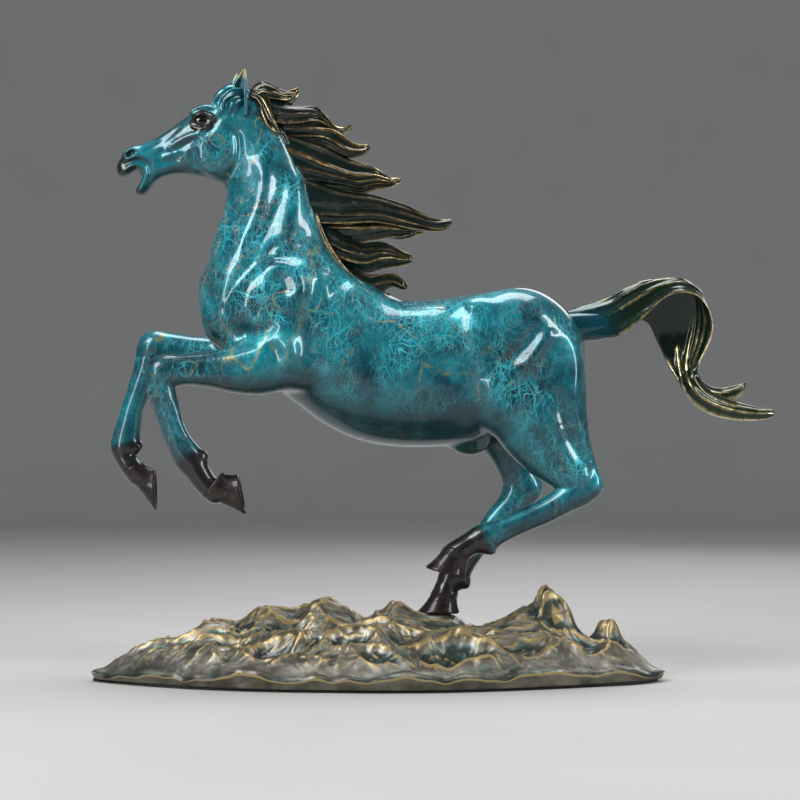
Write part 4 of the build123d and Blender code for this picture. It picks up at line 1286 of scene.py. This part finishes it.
def rock_finish():
    """Silvery gold rock: ochre on the ridges, turquoise and black in the hollows."""
    f = Finish("gilded rock")
    hollow, crest, wall = f.painted("hollow"), f.painted("crest"), f.painted("wall")
    z = f.axis(2)
    cloud = f.noise(45, 6, 0.6, 0.3)
    colour = f.ramp(cloud, (0.32, (0.050, 0.050, 0.040)), (0.44, (0.15, 0.14, 0.11)),
                    (0.55, (0.30, 0.285, 0.235)),
                    (0.72, (0.48, 0.465, 0.41)))
    ochre = f.span(f.plus(f.times(hollow, -1.0), f.times(cloud, 0.5)), 0.22, 0.80)
    colour = f.blend(f.times(ochre, 0.52), colour, (0.120, 0.084, 0.038))
    stain = f.span(f.plus(hollow, f.minus(f.noise(55, 5, 0.65), 0.5)), 0.10, 0.50)
    colour = f.blend(f.times(stain, 0.62), colour, (0.022, 0.085, 0.080))
    patch = f.times(f.span(f.noise(24, 4, 0.6), 0.55, 0.66), f.span(hollow, -0.25, 0.25))
    colour = f.blend(f.times(patch, 0.70), colour, (0.030, 0.19, 0.18))
    deep = f.span(f.plus(hollow, f.times(f.minus(f.noise(90, 4), 0.5), 0.9)), 0.10, 0.50)
    colour = f.blend(f.times(deep, 0.90), colour, (0.008, 0.013, 0.010))
    green = f.times(f.near((0.122, 0.010, 0.062), 0.040, 0.3), f.span(f.noise(70, 4), 0.36, 0.58))
    green = f.most(green, f.times(f.near((0.045, 0.015, 0.044), 0.034, 0.3), 0.7))
    colour = f.blend(f.times(green, 0.66), colour, (0.018, 0.070, 0.048))
    grime = f.span(f.noise(30, 6, 0.65, 0.6), 0.50, 0.64)
    colour = f.blend(f.times(grime, 0.62), colour, (0.028, 0.034, 0.024))
    fleck = f.times(f.span(f.noise(170, 5, 0.7), 0.54, 0.66), f.span(f.noise(40, 3), 0.45, 0.6))
    colour = f.blend(f.times(fleck, 0.6), colour, (0.035, 0.15, 0.135))
    side = f.times(wall, f.span(z, 0.003, 0.012, 1.0, 0.65))
    rim_tone = f.blend(f.span(f.noise(60, 5), 0.35, 0.65), (0.035, 0.030, 0.016), (0.14, 0.125, 0.085))
    colour = f.blend(f.times(side, 0.9), colour, rim_tone)
    worn = f.span(f.plus(crest, f.times(f.minus(f.noise(150, 4), 0.5), 0.5)), 0.12, 0.55)
    colour = f.blend(f.times(worn, 0.70), colour, (0.46, 0.34, 0.14))
    metal = f.span(stain, 0.0, 1.0, 0.58, 0.30)
    rough = f.plus(0.24, f.times(f.noise(140, 5, 0.6), 0.30))
    bump = f.relief((f.noise(620, 4, 0.7), 0.30, 0.0006), (f.noise(240, 5, 0.65), 0.30, 0.0011),
                    (f.noise(90, 4), 0.2, 0.0018))
    return f.finish(colour, metal, rough, bump, coat=0.5, coat_rough=0.12)


def eye_finish():
    """Black enamel eyes with a brown iris that hardly shows."""
    f = Finish("eye black")
    iris = f.most(f.near((-0.1222, -0.0134, 0.3905), 0.0042, 0.55),
                  f.near((-0.1222, 0.0134, 0.3905), 0.0042, 0.55))
    colour = f.blend(iris, (0.0020, 0.0015, 0.0012), (0.010, 0.006, 0.004))
    pupil = f.most(f.near((-0.1222, -0.0134, 0.3905), 0.0022, 0.6),
                   f.near((-0.1222, 0.0134, 0.3905), 0.0022, 0.6))
    colour = f.blend(pupil, colour, (0.0006, 0.0006, 0.0006))
    rough = f.plus(0.10, f.times(f.noise(300, 2), 0.06))
    return f.finish(colour, 0.0, rough, f.relief((f.noise(500, 2), 0.02, 0.0003)), coat=1.0,
                    coat_rough=0.02, specular=0.3)


def felt_finish():
    """Black felt with a little pale lint."""
    f = Finish("black felt")
    fluff = f.noise(900, 6, 0.75)
    colour = f.ramp(fluff, (0.35, (0.010, 0.010, 0.011)), (0.65, (0.045, 0.045, 0.048)))
    lint = f.span(f.noise(1500, 2, at=f.warped(300, 0.004)), 0.66, 0.72)
    colour = f.blend(f.times(lint, 0.4), colour, (0.20, 0.20, 0.19))
    return f.finish(colour, 0.0, 0.95, f.relief((fluff, 0.7, 0.0006)), specular=0.15)


def zinc_finish():
    """Zinc plate with a spangle and dull stains."""
    f = Finish("zinc plate")
    spangle = f.cells(420, "F1")
    colour = f.ramp(spangle, (0.1, (0.36, 0.37, 0.38)), (0.7, (0.56, 0.57, 0.58)))
    stain = f.span(f.noise(260, 5), 0.55, 0.72)
    colour = f.blend(f.times(stain, 0.45), colour, (0.24, 0.22, 0.17))
    rough = f.plus(0.28, f.times(f.noise(500, 3), 0.25))
    return f.finish(colour, 0.95, rough, f.relief((f.noise(1200, 3), 0.15, 0.0003)))


# ---- pieces -------------------------------------------------------------------------
def joined(*meshes):
    """Several (vertices, faces, one or more values per vertex) joined into one."""
    verts, faces, extras, at = [], [], [], 0
    for mesh in meshes:
        v, f, *values = mesh
        verts.append(v)
        faces += [tuple(int(i) + at for i in face) for face in f]
        extras.append(values)
        at += len(v)
    return (np.vstack(verts), faces, *[np.concatenate(v) for v in zip(*extras)])


def piece(name, verts, faces, material, slot, nodes, normals=None, painted=None):
    """Makes a shown piece that rides on the statue and stands for some CAD nodes."""
    mesh = bpy.data.meshes.new(name)
    verts = np.asarray(verts, float) * MM
    if isinstance(faces, np.ndarray):
        mesh.vertices.add(len(verts))
        mesh.vertices.foreach_set("co", verts.astype(np.float32).ravel())
        mesh.loops.add(faces.size)
        mesh.loops.foreach_set("vertex_index", faces.astype(np.int32).ravel())
        mesh.polygons.add(len(faces))
        mesh.polygons.foreach_set("loop_start", np.arange(0, faces.size, faces.shape[1], dtype=np.int32))
        mesh.update(calc_edges=True)
    else:
        mesh.from_pydata(verts.tolist(), [], faces)
    mesh.validate()
    mesh.shade_smooth()
    for key, values in (painted or {}).items():
        mesh.attributes.new(key, "FLOAT", "POINT").data.foreach_set("value", np.asarray(values, np.float32))
    if normals is not None and len(mesh.vertices) == len(normals):
        mesh.normals_split_custom_set_from_vertices(np.asarray(normals, float).tolist())
    obj = bpy.data.objects.new(name, mesh)
    bpy.context.scene.collection.objects.link(obj)
    mesh.materials.append(material)
    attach(obj, "root")
    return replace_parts(obj, *nodes)


TURQUOISE, HOOF, ROCK_BRONZE = turquoise(), hoof_finish(), rock_finish()
# the last colour of each hair finish is the pale tone of the highest strands, partly worn metal and partly
# painted highlight
MANE_BRONZE = hair_bronze("mane bronze", (0.001, 0.016, 0.018), (0.004, 0.010, 0.007), (0.14, 0.092, 0.034),
                          (0.58, 0.47, 0.24), 0.30)
TAIL_BRONZE = hair_bronze("tail bronze", (0.001, 0.055, 0.078), (0.004, 0.016, 0.008), (0.30, 0.25, 0.11),
                          (0.86, 0.78, 0.50), 0.30)
FORELOCK = hair_bronze("forelock patina", (0.002, 0.060, 0.080), (0.002, 0.080, 0.105), (0.02, 0.30, 0.36),
                       (0.45, 0.62, 0.60), 0.30)
EYE, FELT, ZINC = eye_finish(), felt_finish(), zinc_finish()

# The castings of the horse, each cut from its own block of clay.
left_fore = wedge(flipped(LEFT_FORE_WELD), (0, -8, 0, 0, 1, 0))
right_fore = wedge(flipped(RIGHT_FORE_WELD), (0, 8, 0, 0, -1, 0))
left_hind = wedge(flipped(HIND_WELD), (0, -6, 0, 0, 1, 0), (40, 0, 0, -1, 0, 0))
right_hind = wedge(flipped(HIND_WELD), (0, 6, 0, 0, -1, 0), (40, 0, 0, -1, 0, 0))
neck_up, head_up = wedge(flipped(NECK_WELD)), wedge(flipped(HEAD_WELD))
jaw = wedge((-146, 0, 0, 1, 0, 0), (-146, 0, 358.5, -0.28, 0, 1))
CASTINGS = {
    "body": (model((-136, -62, 150), (158, 62, 312), 1.25),
             without(left_fore, right_fore, left_hind, right_hind, neck_up)),
    "neck": (model((-132, -46, 280), (-20, 46, 416), 1.0, head=True), both(neck_up, wedge(HEAD_WELD))),
    "left_foreleg": (model((-168, -52, 118), (-50, 2, 262), 0.85), left_fore),
    "right_foreleg": (model((-192, -2, 128), (-50, 56, 268), 0.85), right_fore),
    "left_hindleg": (model((38, -58, 70), (166, 2, 212), 0.9), left_hind),
    "right_hindleg": (model((34, -2, 40), (146, 58, 212), 0.9), right_hind),
}
head_clay = model((-186, -24, 330), (-74, 24, 418), 0.55, head=True)
CASTINGS["head"] = (head_clay, both(head_up, without(jaw)))
CASTINGS["lower_jaw"] = (head_clay, both(head_up, jaw))
for name, (mesh, inside) in CASTINGS.items():
    v, t, n = keep(mesh, inside)
    piece(name, v, t, TURQUOISE, "turquoise_bronze", [name], normals=n)


# Ears: hollow leaves, open forwards and outwards.
def ear(base, bend, tip, y, side):
    """An ear from its base to its tip, (x, z); side is -1 for the left one."""
    nu, na = ((56, 34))
    spine = spread([base, bend, tip], nu)
    open_to = np.array([-0.42, 0.90 * side, 0.10])
    open_to /= np.linalg.norm(open_to)
    up = np.array(tip, float) - base
    up = np.array([up[0], 0, up[1]]) / np.linalg.norm(up)
    back = -(open_to - up * (open_to @ up))
    back /= np.linalg.norm(back)
    across = np.cross(up, back)
    theta = np.linspace(-2.05, 2.05, na)
    flare = 1 + 0.10 * np.cos(theta * 1.5) ** 2
    rows = []
    for u, (cx, cz) in zip(np.linspace(0, 1, nu), spine):
        w = np.interp(u, [0, 0.12, 0.3, 0.5, 0.7, 0.86, 0.96, 1], [4.2, 5.0, 5.7, 5.5, 4.4, 2.6, 1.1, 0.25])
        wall = min(1.5, 0.45 * w) * np.interp(u, [0, 0.15, 1], [2.2, 1.1, 1])
        ridge = 0.16 * np.cos(theta * 7) * min(w / 4, 1)
        outer = (w + ridge) * flare
        inner = outer - wall - 0.25 * np.cos(theta * 5) * min(w / 4, 1)
        c = np.array([cx, y - 3 * side * u, cz])
        lip = 2.22
        turns = [*theta, lip, *theta[::-1], -lip]
        reach = [*outer, outer[-1] - wall / 2, *inner[::-1], outer[0] - wall / 2]
        rows.append([c + back * (0.72 * r * math.cos(t)) + across * (r * math.sin(t))
                     for t, r in zip(turns, reach)])
    grid = np.array(rows)
    n = grid.shape[1]
    ids = np.arange(nu * n).reshape(nu, n)
    faces = [tuple(q) for q in strip(ids)]
    # the two ends close across the thickness of the leaf
    for row, order in ((ids[0], -1), (ids[-1], 1)):
        for i in range(na - 1):
            quad = (row[i], row[i + 1], row[n - 2 - (i + 1)], row[n - 2 - i])
            faces.append(tuple(int(k) for k in quad[::order]))
        faces.append(tuple(int(k) for k in (row[na - 1], row[na], row[na + 1])[::order]))
        faces.append(tuple(int(k) for k in (row[n - 1], row[0], row[n - 2])[::order]))
    return grid.reshape(-1, 3), faces


for name, args in {
    "left_ear": ((-94.5, 393.5), (-95.6, 411), (-92.4, 427), -12.2, -1),
    "right_ear": ((-97.5, 393.5), (-100, 411), (-99.0, 426.6), 12.2, 1),
}.items():
    piece(name, *ear(*args), TURQUOISE, "turquoise_bronze", [name])

for name, side in (("left_eye", -1), ("right_eye", 1)):
    rings, round_ = ((20, 40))
    lat, lon = np.meshgrid(np.linspace(0, np.pi, rings), np.linspace(0, 2 * np.pi, round_, endpoint=False),
                           indexing="ij")
    ball = np.stack([np.sin(lat) * np.cos(lon) * 6.2, np.cos(lat) * 4.2,
                     np.sin(lat) * np.sin(lon) * 4.1], -1)
    ball[..., 1] *= side
    v = ball.reshape(-1, 3) + (-122.2, side * 9.1, 389.9)
    ids = np.arange(rings * round_).reshape(rings, round_)
    piece(name, v, [tuple(f) if side < 0 else tuple(f[::-1]) for f in strip(ids)], EYE, "eye_black", [name])

for name, args in HOOVES.items():
    piece(name, *hoof(*args), HOOF, "hoof_bronze", [name])

for name, locks in MANE.items():
    v, faces, ridge, along = joined(*(lock(**one) for one in locks))
    finish = FORELOCK if name == "forelock" else MANE_BRONZE
    piece(name, v, faces, finish, "mane_bronze", [name], painted={"ridge": ridge, "along": along})

for name, (a, m, b, thick, flutes, depth) in {
    "tail": (TAIL_A, TAIL_M, TAIL_B, [7, 5.5, 4.6, 4.2, 4, 4, 4], 5, 1.9),
    "tail_lower_lock": (LOWER_A, LOWER_M, LOWER_B, [4, 4.4, 4.4, 4, 3.6, 3.2], 3.5, 1.3),
    "tail_upper_lock": (UPPER_A, UPPER_M, UPPER_B, [4, 4.4, 4.2, 3.8, 3.4], 2.5, 1.2),
}.items():
    v, faces, ridge, along = ribbon(a, m, b, thick, flutes, depth, phase=0.2, inner_smooth=name == "tail",
                                    sway=0.02)
    if name == "tail":
        stalk = Clay((108, -18, 232), (176, 18, 272), 0.7)
        stalk.limb([(114, 243, 13, 0, 12), (126, 246, 11.4, 0, 10.6), (138, 247.4, 10.6, 0, 9.8),
                    (150, 248, 10.6, 0, 9.6), (160, 249.6, 9.8, 0, 9), (169, 253.4, 6.6, 0, 6.4),
                    (174, 256.4, 3, 0, 3)], k=3)
        sv, st, _ = stalk.skin()
        v, faces, ridge, along = joined((v, faces, ridge, along),
                                        (sv, st, 0 * sv[:, 0], np.clip((sv[:, 0] - 170) / 400, 0, 1)))
    else:
        along = 0.7 + 0.3 * along
    piece(name, v, faces, TAIL_BRONZE, "tail_bronze", [name], painted={"ridge": ridge, "along": along})

v, faces, wall, hollow, crest = rock()
piece("base", v, faces, ROCK_BRONZE, "rock_bronze", ["base"],
      painted={"wall": wall, "hollow": hollow, "crest": crest})

# The felt and the fixings keep their CAD shapes.
for name, finish in {"felt_pad": FELT, "mounting_stud": ZINC, "stud_washer": ZINC,
                     "stud_nut": ZINC}.items():
    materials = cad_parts[name].data.materials
    materials.clear()
    materials.append(finish)


# ---- studio -------------------------------------------------------------------------
# a pale floor that curves up into a round wall
around = np.linspace(0, 2 * np.pi, 96, endpoint=False)
sweep = [(0.02, 0), (1.2, 0), (2.6, 0)]
sweep += [(2.6 + 1.4 * math.sin(t), 1.4 - 1.4 * math.cos(t)) for t in np.linspace(0.1, 1.57, 14)]
sweep.append((4.0, 4.0))
grid = np.array([[(r * math.cos(a), r * math.sin(a), h) for a in around] for r, h in sweep])
ids = np.arange(len(sweep) * 96).reshape(-1, 96)
quads = strip(ids, turned=True)
floor_mesh = bpy.data.meshes.new("floor")
floor_mesh.from_pydata(grid.reshape(-1, 3).tolist(), [],
                       [tuple(ids[0].tolist())] + [tuple(q.tolist()) for q in quads])
floor_mesh.shade_smooth()
floor = bpy.data.objects.new("floor", floor_mesh)
floor.location = (0, 0, -0.0002)
bpy.context.scene.collection.objects.link(floor)
pale = Finish("pale floor")
floor_mesh.materials.append(pale.finish(
    pale.ramp(pale.noise(6, 2), (0.3, (0.50, 0.50, 0.495)), (0.7, (0.525, 0.525, 0.52))), 0.0, 0.8))

world = bpy.data.worlds.new("studio")
bpy.context.scene.world = world
world.use_nodes = True
sky = world.node_tree.nodes["Background"]
sky.inputs["Color"].default_value = (0.90, 0.93, 1.0, 1)
sky.inputs["Strength"].default_value = 0.20
bpy.context.scene.view_settings.view_transform = "Standard"


def softbox(name, at, towards, power, wide, tall):
    """A rectangular soft light."""
    light = bpy.data.lights.new(name, "AREA")
    light.shape, light.size, light.size_y, light.energy = "RECTANGLE", wide, tall, power
    lamp = bpy.data.objects.new(name, light)
    bpy.context.scene.collection.objects.link(lamp)
    lamp.location = at
    lamp.rotation_euler = (Vector(towards) - Vector(at)).to_track_quat("-Z", "Y").to_euler()


softbox("key", (-1.0, -1.0, 1.35), (0, 0, 0.24), 21, 0.8, 0.8)
softbox("left strip", (-1.05, -1.15, 0.55), (0, 0, 0.26), 7, 0.20, 1.0)
softbox("right strip", (1.65, -1.0, 0.95), (0, 0, 0.22), 20, 0.28, 1.4)
softbox("top", (0.1, 0.25, 1.5), (0, 0, 0.2), 12, 0.9, 0.6)
softbox("back", (0.6, 1.4, 0.9), (0, 0, 0.22), 4, 0.8, 0.8)

cam = bpy.data.cameras.new("camera")
camera = bpy.data.objects.new("camera", cam)
bpy.context.scene.collection.objects.link(camera)
cam.lens, cam.sensor_width = 97.2, 36
camera.location = (-0.012, -1.512, 0.174)
camera.rotation_euler = (math.radians(90.84), 0, math.radians(-1.06))
bpy.context.scene.camera = camera
